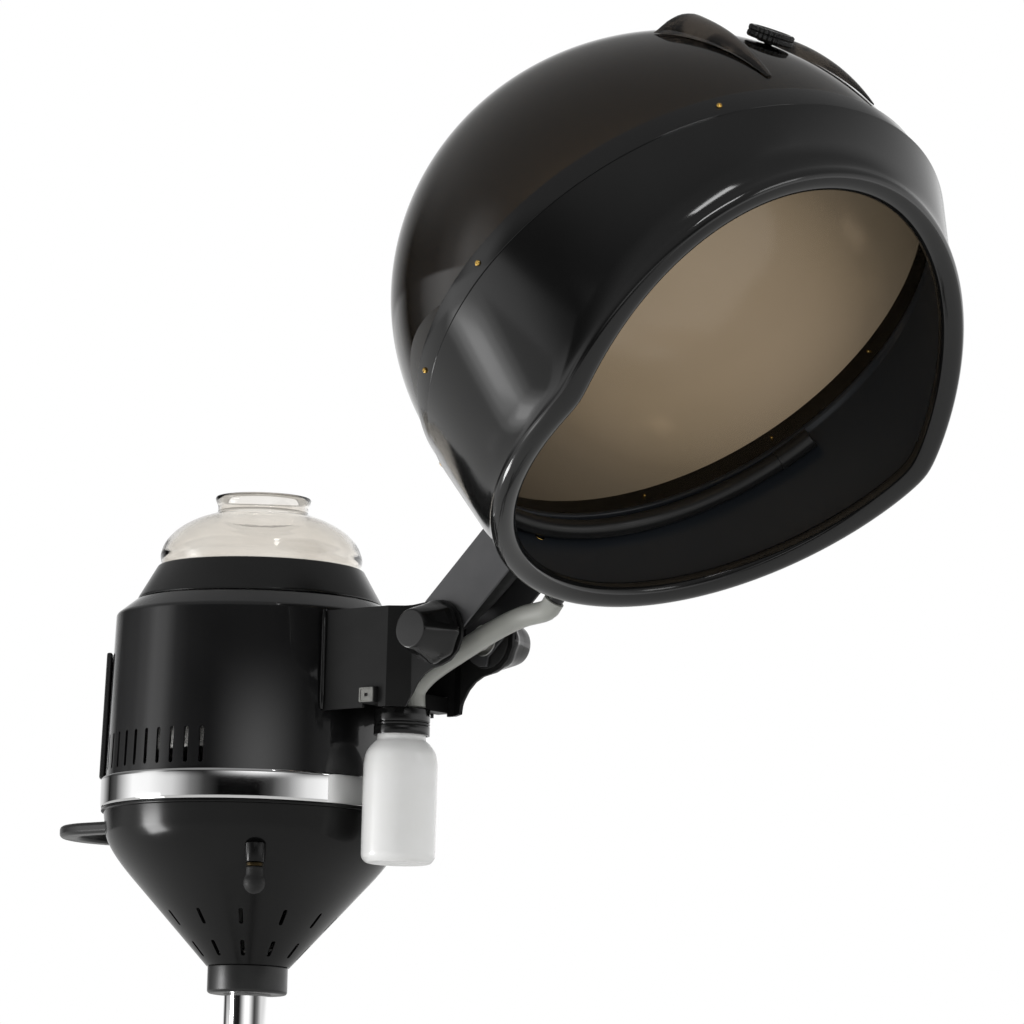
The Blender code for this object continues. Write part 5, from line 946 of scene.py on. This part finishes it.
RIM_MEET = math.acos(1 - VISOR_WALL / RIM_RADIUS)  # where the wall's inside runs into the roll


def oval_normal(angle):
    return Vector((math.cos(angle) / HOOD_HALF[0], math.sin(angle) / HOOD_HALF[1])).normalized()


def oval(angle, out=0.0):
    """A point of the hood's oval, moved out square to it."""
    return Vector((HOOD_HALF[0] * math.cos(angle), HOOD_HALF[1] * math.sin(angle))) + oval_normal(angle) * out


def rim_point(angle):
    return Vector((RIM_SHIFT + RIM_HALF[0] * math.cos(angle), RIM_HALF[1] * math.sin(angle)))


def rim_depth(x):
    """Depth of the rim's middle line: two straight runs that meet in a soft bend at the temples."""
    nape, temple, forehead = RIM_DEPTHS
    front = (forehead - temple) / (RIM_SHIFT + RIM_HALF[0] - RIM_TEMPLE[0])
    back = (temple - nape) / (RIM_TEMPLE[0] - RIM_SHIFT + RIM_HALF[0])
    run = x - RIM_TEMPLE[0]
    return temple + (front + back) / 2 * run + (front - back) / 2 * math.hypot(run, RIM_TEMPLE[1])


def visor_inner(angle, depth):
    """The wall's inside at one angle, at this depth below the dome's edge."""
    rim = rim_point(angle)
    low = rim + oval_normal(angle) * RIM_RADIUS * math.cos(RIM_MEET)
    return oval(angle, -VISOR_WALL).lerp(low, depth / (rim_depth(rim.x) - RIM_RADIUS * math.sin(RIM_MEET)))


def visor_section(angle):
    """The ring at one angle: flange, groove, wall, hollow curve, rolled rim, then up the inside over the ledge."""
    normal, rim = oval_normal(angle), rim_point(angle)
    depth = rim_depth(rim.x)
    flange, inside, outside = oval(angle), oval(angle, -VISOR_WALL), oval(angle, VISOR_STEP)
    width, thickness, slope = LEDGE
    ledge_top = DOME_SKIRT + FIT
    ledge_low = ledge_top + thickness
    ledge = oval(angle, -VISOR_WALL - width)
    under = visor_inner(angle, ledge_low + slope)
    roll = []
    for i in range(RIM_STEPS + 1):
        turn = RIM_BEAD - (math.tau - RIM_MEET + RIM_BEAD) * i / RIM_STEPS
        roll.append(Vector((*(rim + normal * RIM_RADIUS * math.cos(turn)), -depth + RIM_RADIUS * math.sin(turn))))
    groove = oval(angle, -STEP_GROOVE)
    step = Vector((*outside, -FLANGE_DEPTH - STEP_GROOVE))
    bend, end = roll[0], roll[HOLLOW_END]
    start = bend + (step - bend).normalized() * RIM_HOLLOW
    shares = [i / HOLLOW_STEPS for i in range(HOLLOW_STEPS + 1)]
    hollow = [start.lerp(bend, share).lerp(bend.lerp(end, share), share) for share in shares]
    top = [(*inside, 0.0), (*flange, 0.0), (*flange, -FLANGE_DEPTH + STEP_GROOVE), (*groove, -FLANGE_DEPTH + FIT),
           (*groove, -FLANGE_DEPTH - STEP_GROOVE), step, hollow[0]]
    low = [roll[-1], (*under, -ledge_low - slope), (*ledge, -ledge_low), (*ledge, -ledge_top), (*inside, -ledge_top)]
    outer, inner = (eased(run, reach, count=3, closed=False) for run, reach in zip((top, low), VISOR_EASE))
    return outer + hollow[1:] + roll[HOLLOW_END + 1:-1] + inner


def hood_ring():
    """The glossy visor ring, satin on its inside, where its lighter, cooler grey is painted light."""
    steps = 288
    satin_and_light_from = 0.3  # how squarely a satin face looks inward
    loops = [[HOOD_PLACE @ point for point in visor_section(math.tau * i / steps)] for i in range(steps)]
    ring = stand_in("hood_ring", skin(loops, ring=True), crease=40)
    # The inward faces take the satin, whose lighter, cooler grey than the outside is painted light
    ring.data.materials.append(FINISH["inner_satin_painted_light"])
    for face in ring.data.polygons:
        spot = HOOD_BACK @ face.center
        angle = math.atan2(spot.y / HOOD_HALF[1], spot.x / HOOD_HALF[0])
        inward = -(HOOD_BACK.to_3x3() @ face.normal).to_2d().dot(oval_normal(angle))
        if inward > satin_and_light_from and -spot.z < rim_depth(rim_point(angle).x) - RIM_RADIUS:
            face.material_index = 1


def dome_normal(point):
    half = [size - VISOR_WALL - FIT for size in HOOD_HALF]
    return Vector((point.x / half[0] ** 2, point.y / half[1] ** 2, point.z / DOME_HEIGHT ** 2)).normalized()


def dome_point(angle, lift, out=0.0):
    """A point of the dome's outside: lift runs from 0 at its edge to a right angle at the crown."""
    edge = oval(angle, -VISOR_WALL - FIT)
    side = Vector((edge.x * math.cos(lift), edge.y * math.cos(lift), DOME_HEIGHT * math.sin(lift)))
    return side + dome_normal(side) * out if out else side


def gate_mark(lift):
    """The shallow ring left at the crown where the sheet was drawn."""
    radius, width, height = GATE_MARK
    return height * math.exp(-((HOOD_HALF[0] * math.cos(lift) - radius) / width) ** 2)


def hood_dome():
    """The smoked dome with its skirt, dull on its inside."""
    steps, rows = 192, 56
    dull_to = -0.5  # how squarely a dull face looks inward, against the way out
    angles = [math.tau * i / steps for i in range(steps)]
    lifts = [math.pi / 2 * i / rows for i in range(rows)]
    edge = -VISOR_WALL - FIT
    outside = [[(*oval(a, out), -DOME_SKIRT) for a in angles] for out in (edge - DOME_WALL, edge)]
    outside += [[dome_point(a, lift, gate_mark(lift)) for a in angles] for lift in lifts]
    inside = [[dome_point(a, lift, -DOME_WALL) for a in angles] for lift in lifts]
    shape = bmesh.new()
    outer, inner = ([[shape.verts.new(hood_spot(*point)) for point in loop] for loop in loops]
                    for loops in (outside, inside))
    crowns = [shape.verts.new(hood_spot(0, 0, z)) for z in (DOME_HEIGHT, DOME_HEIGHT - DOME_WALL)]
    for low, high in list(zip(outer, outer[1:])) + list(zip(inner[1:], inner)) + [(inner[0], outer[0])]:
        for i in range(steps):
            j = (i + 1) % steps
            shape.faces.new((low[i], low[j], high[j], high[i]))
    for i in range(steps):
        j = (i + 1) % steps
        shape.faces.new((outer[-1][i], outer[-1][j], crowns[0]))
        shape.faces.new((inner[-1][j], inner[-1][i], crowns[1]))
    dome = stand_in("hood_dome", shape)
    dome.data.materials.append(FINISH["dull_acrylic"])
    for face in dome.data.polygons:
        if (HOOD_BACK.to_3x3() @ face.normal).dot(dome_normal(HOOD_BACK @ face.center)) < dull_to:
            face.material_index = 1


def scoops():
    """Two tapering scoops on the crown, blunt behind and running out to the front."""
    rows, arch = 40, 16
    for side, word in ((-1, "near"), (1, "far")):
        loops = []
        for i in range(rows + 1):
            share = i / rows
            lift = between(SCOOP_SPAN, share)
            short = 1 - min(1.0, share / SCOOP_BLUNT)
            height = SCOOP_EDGE + SCOOP_HEIGHT * (1 - share) * (1 - (1 - SCOOP_TIP) * short ** 2)
            half = SCOOP_HALF_WIDTH * (SCOOP_TIP + (1 - SCOOP_TIP) * (1 - share))
            loop = []
            for k in range(2 * arch):
                turn = math.pi * k / arch
                offset = side * SCOOP_OFFSET + half * math.cos(turn)
                across = math.asin(max(-1.0, min(1.0, offset / (HOOD_HALF[1] * math.cos(lift)))))
                rise = height * math.sin(turn) if k <= arch else 0.0
                loop.append(HOOD_PLACE @ dome_point(across, lift, 2 * FIT + rise))
            loops.append(loop)
        stand_in(f"vent_scoop_{word}", skin(loops), "dark_smoke", crease=50)


def vent():
    """The knurled knob on the crown and the damper disc under it."""
    joint = JOINTS["vent_turn"]
    place = facing(joint["pos_m"], joint["axis"])
    ridges = ridged(count=28, depth=0.0006, inner=0.0155)
    stand_in("vent_knob", turned(VENT_KNOB, corner=0.0006, place=place, steps=280, wobble=ridges), "bright_black")
    refined("vent_damper", place, steps=64)


def steam_pipe():
    """The steam pipe round the nape inside the ring, with a sleeve at each end, and the fittings at the nape."""
    path = []
    for i in range(PIPE_STEPS + 1):
        angle = math.pi - PIPE_SWEEP + 2 * PIPE_SWEEP * i / PIPE_STEPS
        spot = visor_inner(angle, PIPE_DEPTH + PIPE_RADIUS) - oval_normal(angle) * (PIPE_RADIUS + 4 * FIT)
        path.append(hood_spot(*spot, -PIPE_DEPTH))
    crown = HOOD_PLACE.to_3x3() @ Vector((0, 0, 1))
    shape = pipe(path, PIPE_RADIUS, crown, sides=28)
    for run in (path[:SLEEVE_POINTS], path[-SLEEVE_POINTS:]):
        merge(shape, pipe(run, PIPE_RADIUS + SLEEVE_WALL, crown, sides=28))
    stand_in("steam_pipe", shape)
    for node, depth in (("steam_inlet", PIPE_DEPTH), ("drain_spigot", SPIGOT_DEPTH)):
        refined(node, HOOD_PLACE @ Matrix.Translation((0, 0, -depth)) @ Matrix.Rotation(math.pi / 2, 4, "Y"),
                corner=0.0005, steps=48)


def screws():
    """Brass pan-head screws through the flange into the dome's edge."""
    shape = bmesh.new()
    for degrees in SCREW_ANGLES:
        for side in (1, -1):
            angle = side * math.radians(degrees)
            place = HOOD_PLACE @ facing((*oval(angle), -SCREW_DEPTH), (*oval_normal(angle), 0))
            merge(shape, turned(SCREW, corner=0.0002, place=place, steps=20, count=2))
    piece("flange_screws", shape, FINISH["brass"], "hood", "brass")


hood_ring()
hood_dome()
scoops()
vent()
steam_pipe()
screws()


# Back of the unit

def handle():
    """The flat loop at the back with soft edges."""
    low, high = (corner.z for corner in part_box("rear_handle"))
    half, inner = HANDLE_HALVES
    foot, gap = (-math.sqrt(HANDLE_SEAT ** 2 - side ** 2) for side in HANDLE_HALVES)
    outline = [(foot, half)] + arc(HANDLE_TIP, half, 90, 270, count=40) + [(foot, -half), (gap, -inner)]
    outline += arc(HANDLE_TIP, inner, 270, 90, count=32) + [(gap, inner)]
    loop = stand_in("rear_handle", plate(outline, high - low, Matrix.Translation((0, 0, low))))
    bevelled(loop, width=0.0030, segments=4)


def panel_seat(z):
    """The radius at which the panel lies on the shell's side."""
    return SHELL_FOOT_RADIUS + (SHELL_TOP_RADIUS - SHELL_FOOT_RADIUS) * (z - SHELL_LOW) / SHELL_HEIGHT + FIT


def gland_place():
    """The mains inlet's place between two slots at the back of the bowl, Z out of the cone."""
    slope = math.atan2(BOWL_CONE[0] - BOWL_FOOT_RADIUS, BOWL_CONE[1])
    spot = (cone_radius(GLAND_LIFT), 0, BOWL_FOOT + GLAND_LIFT)
    return Matrix.Rotation(GLAND_TURN, 4, "Z") @ facing(spot, (math.cos(slope), 0, -math.sin(slope)))


def dial_marks(middle):
    """Ticks printed on the panel round the timer knob, each third one longer."""
    marks = bmesh.new()
    for i in range(DIAL_MARKS):
        turn = math.radians(DIAL_START + DIAL_STEP * i)
        end = DIAL_RADIUS + DIAL_LENGTHS[1 if i % DIAL_LONG else 0]
        loops = []
        for out in (0.0, DIAL_INK):
            loop = []
            for reach, side in ((DIAL_RADIUS, -1), (DIAL_RADIUS, 1), (end, 1), (end, -1)):
                wide = side * DIAL_HALF_WIDTH
                across = reach * math.sin(turn) + wide * math.cos(turn)
                rise = middle + reach * math.cos(turn) - wide * math.sin(turn)
                radius = panel_seat(rise) + PANEL_THICKNESS + out
                loop.append((-radius * math.cos(across / radius), -radius * math.sin(across / radius), rise))
            loops.append(loop)
        merge(marks, skin(loops))
    trim("dial_marks", marks, "print_ink", "control_panel")


def panel():
    """The curved plate with its timer knob, rocker and lamp, the mains inlet, and the printed dial."""
    angles = [math.pi - PANEL_HALF + 2 * PANEL_HALF * i / PANEL_STEPS for i in range(PANEL_STEPS + 1)]
    loops = []
    for z in (corner.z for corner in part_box("control_panel")):
        seat = panel_seat(z)
        loop = [(PANEL_THICKNESS + seat, a) for a in angles] + [(seat, a) for a in reversed(angles)]
        loops.append([Vector((r * math.cos(a), r * math.sin(a), z)) for r, a in loop])
    bevelled(stand_in("control_panel", skin(loops)), width=0.0014)
    middle = JOINTS["timer_turn"]["pos_m"][2]
    refined("timer_knob", facing((0, 0, middle), (-1, 0, 0)), corner=0.0010, steps=144,
            wobble=ridged(count=36, depth=0.0004, inner=0.0148, outer=0.0175))
    lamp = facing((0, 0, middle), (math.cos(LAMP_TURN), math.sin(LAMP_TURN), 0))
    refined("indicator_lamp", lamp, corner=0.0008, steps=40)
    softened("power_switch", width=0.0006)
    refined("mains_inlet", gland_place(), corner=0.0010, steps=48)
    dial_marks(middle)


handle()
panel()


# Stand

def height_clamp():
    """The clamp on the lower tube and its lobed lock knob."""
    low, high = (corner.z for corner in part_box("height_clamp"))
    bore, lip = CLAMP_BORES
    clamp = [(CLAMP_RADIUS, high), (CLAMP_RADIUS, low), (bore, low), (bore, high - CLAMP_LIP), (lip, high - CLAMP_LIP),
             (lip, high)]
    lock = JOINTS["height_lock"]
    place = facing((0, 0, lock["pos_m"][2]), lock["axis"])
    mesh = meshed(lathe(eased(clamp, reach=0.0016)), "height_clamp_fine")
    stand_in("height_clamp", combined(mesh, turned(LOCK_BOSS, corner=0.0008, place=place, steps=48), "UNION"))
    refined("height_lock_knob", place, corner=0.0014, steps=120, wobble=ridged(count=8, depth=0.0011, inner=0.0125))


def base():
    """Five tapering legs on a hub, with a boss over each caster."""
    mesh = meshed(turned(HUB, corner=0.0030), "star_base_fine")
    for i in range(LEGS):
        turn = Matrix.Rotation(math.tau * (i + 0.5) / LEGS, 4, "Z")
        loops = []
        for k in range(LEG_STEPS + 1):
            share = k / LEG_STEPS
            half = between(LEG_WIDTHS, share) / 2
            height = between(LEG_HEIGHTS, share) - LEG_DIP * share * (1 - share)
            top = LEG_UNDERSIDE + height
            edge = top - height * LEG_SLOPE
            section = [(-half, LEG_UNDERSIDE), (half, LEG_UNDERSIDE), (half, edge), (half * LEG_TOP, top),
                       (-half * LEG_TOP, top), (-half, edge)]
            loops.append([turn @ Vector((between(LEG_SPAN, share), *point)) for point in eased(section, reach=0.006)])
        mesh = combined(mesh, skin(loops), "UNION")
        x, y, _ = JOINTS[f"caster_{i + 1}_swivel"]["pos_m"]
        boss = turned(CASTER_BOSS, corner=0.0026, place=Matrix.Translation((x, y, 0)), steps=48)
        mesh = combined(mesh, boss, "UNION")
    stand_in("star_base", mesh)


def casters():
    """The forks, and the wheels with treads that just reach the floor."""
    for i in range(1, LEGS + 1):
        softened(f"caster_fork_{i}", width=0.0008)
        roll = JOINTS[f"wheels_{i}_roll"]
        place = facing(roll["pos_m"], roll["axis"])
        outline, closed = cad_profile(f"caster_wheels_{i}", place)
        outline = [(min(radius, roll["pos_m"][2]), z) for radius, z in outline]
        shape = lathe(eased(outline, reach=0.0016, closed=closed), place, steps=64, closed=closed)
        stand_in(f"caster_wheels_{i}", shape)


height_clamp()
base()
casters()

# The heating loop keeps its CAD shape
heating_loop = NODES["heating_element"].data.materials
heating_loop.clear()
heating_loop.append(FINISH[SLOT_OF["heating_element"]])


# Studio

# Lamps: name, degrees right of the camera, height, distance, size, brightness, aim
LAMPS = (
    # Three sheets one behind the other, so that the light fades towards its edges
    ("left_softbox_inner", -86, 0.70, 3.30, (0.5, 0.5), 1.8, (0.2, 0.0, 1.1)),
    ("left_softbox_middle", -86, 0.70, 3.34, (1.0, 0.8), 1.0, (0.2, 0.0, 1.1)),
    ("left_softbox_outer", -86, 0.70, 3.38, (1.5, 1.1), 0.6, (0.2, 0.0, 1.1)),
    ("bowl_softbox", -83.7, 0.84, 0.45, (0.16, 0.22), 15.0, (0.0, -0.11, 0.935)),
    ("top_softbox", 28, 3.05, 1.5, (0.8, 0.3), 10.0, (0.45, -0.1, 1.45)),
    ("right_softbox", 66, 2.15, 2.2, (0.6, 0.35), 3.0, (0.45, 0.0, 1.45)),
)
# Brightness of the room round the object: degrees right of the camera and level, for low and for high rays
LOW_WALL = ((-180, 1.0), (-154, 0.7), (-138, 0.01), (-125, 0.12), (-102, 1.3), (-84, 1.25), (-62, 0.82), (-47, 0.24),
            (-36, 0.06), (-24, 0.003), (5, 0.003), (15, 0.06), (27, 0.32), (42, 0.95), (62, 1.3), (150, 1.3))
HIGH_WALL = ((-180, 0.9), (-158, 0.45), (-140, 0.02), (-112, 0.14), (-99, 0.4), (-89, 1.0), (-79, 0.9), (-68, 0.16),
             (-56, 0.02), (-30, 0.01), (40, 0.02), (60, 0.25), (80, 0.9), (150, 1.0))
# Heights of a ray's direction between which one part of the room turns into the next
HIGH_FROM = {"From Min": 0.118, "From Max": 0.143}
CEILING_FROM = {"From Min": 0.2, "From Max": 0.56}
STRIP_UNDER = {"From Min": 0.18, "From Max": 0.24, "To Min": 1.0, "To Max": 0.0}
CEILING_LEVEL = 0.3
STRIP_TURN, STRIP_HALF = math.radians(4), math.radians(42)
STRIP_LEVEL = 1.5
PLAIN_LEVEL = 0.75                     # what lights dull surfaces
WHITE_LEVEL = 1.0                      # what the camera sees, and what shows through glass


def floor():
    """A wide pale floor that takes the shadow."""
    shape = bmesh.new()
    bmesh.ops.create_grid(shape, x_segments=1, y_segments=1, size=40.0)
    ground = bpy.data.objects.new("floor", meshed(shape, "floor"))
    bpy.context.scene.collection.objects.link(ground)
    # Matt painted board: an even pale grey with hardly any shine
    ground.data.materials.append(finish_of(
        "pale_studio_floor", {"Specular IOR Level": 0.2},
        tones=("#e9e9e8", "#ececeb"), patch=900, gloss=(0.6, 0.7), smear=400, grain=30.0, depth=0.01))


def softbox(name, angle, height, distance, size, brightness, aim):
    """An area lamp seen from the object at an angle right of the camera, with a plain brightness."""
    turn = math.radians(CAMERA_AZIMUTH)
    swing = math.radians(angle)
    toward = Vector((math.sin(turn), -math.cos(turn), 0)) * math.cos(swing)
    toward += Vector((math.cos(turn), math.sin(turn), 0)) * math.sin(swing)
    data = bpy.data.lights.new(name, "AREA")
    data.shape = "RECTANGLE"
    data.size, data.size_y = size
    data.energy = brightness * math.pi * size[0] * size[1]
    lamp = bpy.data.objects.new(name, data)
    spot = Vector(aim) + toward * distance
    spot.z = height
    lamp.matrix_world = facing(spot, spot - Vector(aim))
    bpy.context.scene.collection.objects.link(lamp)


def grey(level):
    return (level, level, level, 1.0)


def studio():
    """A white studio: bright behind and at the sides, dark where the camera stands, a soft strip over the camera."""
    world = bpy.data.worlds.new("white_studio")
    bpy.context.scene.world = world
    world.use_nodes = True
    tree = world.node_tree
    path = add_node(tree, "LightPath")
    way = add_node(tree, "TexCoord").outputs["Generated"]
    turned_way = add_node(tree, "VectorRotate", {"Vector": way, "Axis": (0.0, 0.0, 1.0),
                                                 "Angle": -math.radians(CAMERA_AZIMUTH)})
    split = add_node(tree, "SeparateXYZ", {"Vector": turned_way.outputs["Vector"]})
    rise = split.outputs["Z"]
    front = add_node(tree, "Math", {0: split.outputs["Y"], 1: -1.0}, operation="MULTIPLY")
    swing = add_node(tree, "Math", {0: split.outputs["X"], 1: front.outputs["Value"]}, operation="ARCTAN2")
    share = add_node(tree, "MapRange", {"Value": swing.outputs["Value"], "From Min": -math.pi, "From Max": math.pi})
    walls = []
    for stops in (LOW_WALL, HIGH_WALL):
        wall = add_node(tree, "ValToRGB", {"Fac": share.outputs["Result"]})
        set_stops(wall.color_ramp, [(angle / 360 + 0.5, grey(level)) for angle, level in stops])
        walls.append(wall.outputs["Color"])
    over = add_node(tree, "MapRange", {"Value": rise, **HIGH_FROM}, **SMOOTH)
    around = add_node(tree, "Mix", {FACTOR: over.outputs["Result"], FIRST: walls[0], SECOND: walls[1]}, **COLOUR)
    above = add_node(tree, "MapRange", {"Value": rise, **CEILING_FROM}, **SMOOTH)
    room = add_node(tree, "Mix", {FACTOR: above.outputs["Result"], FIRST: around.outputs[MIXED],
                                  SECOND: grey(CEILING_LEVEL)}, **COLOUR)
    aside = add_node(tree, "Math", {0: swing.outputs["Value"], 1: STRIP_TURN}, operation="SUBTRACT")
    apart = add_node(tree, "Math", {0: aside.outputs["Value"]}, operation="ABSOLUTE")
    wide = add_node(tree, "MapRange", {"Value": apart.outputs["Value"], "From Max": STRIP_HALF, "To Min": STRIP_LEVEL,
                                       "To Max": 0.0}, **SMOOTH)
    under = add_node(tree, "MapRange", {"Value": rise, **STRIP_UNDER}, **SMOOTH)
    tall = add_node(tree, "Math", {0: over.outputs["Result"], 1: under.outputs["Result"]}, operation="MULTIPLY")
    strip = add_node(tree, "Math", {0: wide.outputs["Result"], 1: tall.outputs["Value"]}, operation="MULTIPLY")
    mirror = add_node(tree, "Mix", {FACTOR: 1.0, FIRST: room.outputs[MIXED], SECOND: strip.outputs["Value"]},
                      blend_type="ADD", **COLOUR)
    plain = add_node(tree, "Mix", {FACTOR: path.outputs["Is Glossy Ray"], FIRST: grey(PLAIN_LEVEL),
                                   SECOND: mirror.outputs[MIXED]}, **COLOUR)
    seen = add_node(tree, "Math", {0: path.outputs["Is Camera Ray"], 1: path.outputs["Is Transmission Ray"]},
                    operation="MAXIMUM")
    colour = add_node(tree, "Mix", {FACTOR: seen.outputs["Value"], FIRST: plain.outputs[MIXED],
                                    SECOND: grey(WHITE_LEVEL)}, **COLOUR)
    tree.links.new(colour.outputs[MIXED], tree.nodes["Background"].inputs["Color"])


floor()
for lamp in LAMPS:
    softbox(*lamp)
studio()
bpy.context.scene.view_settings.view_transform = "Standard"
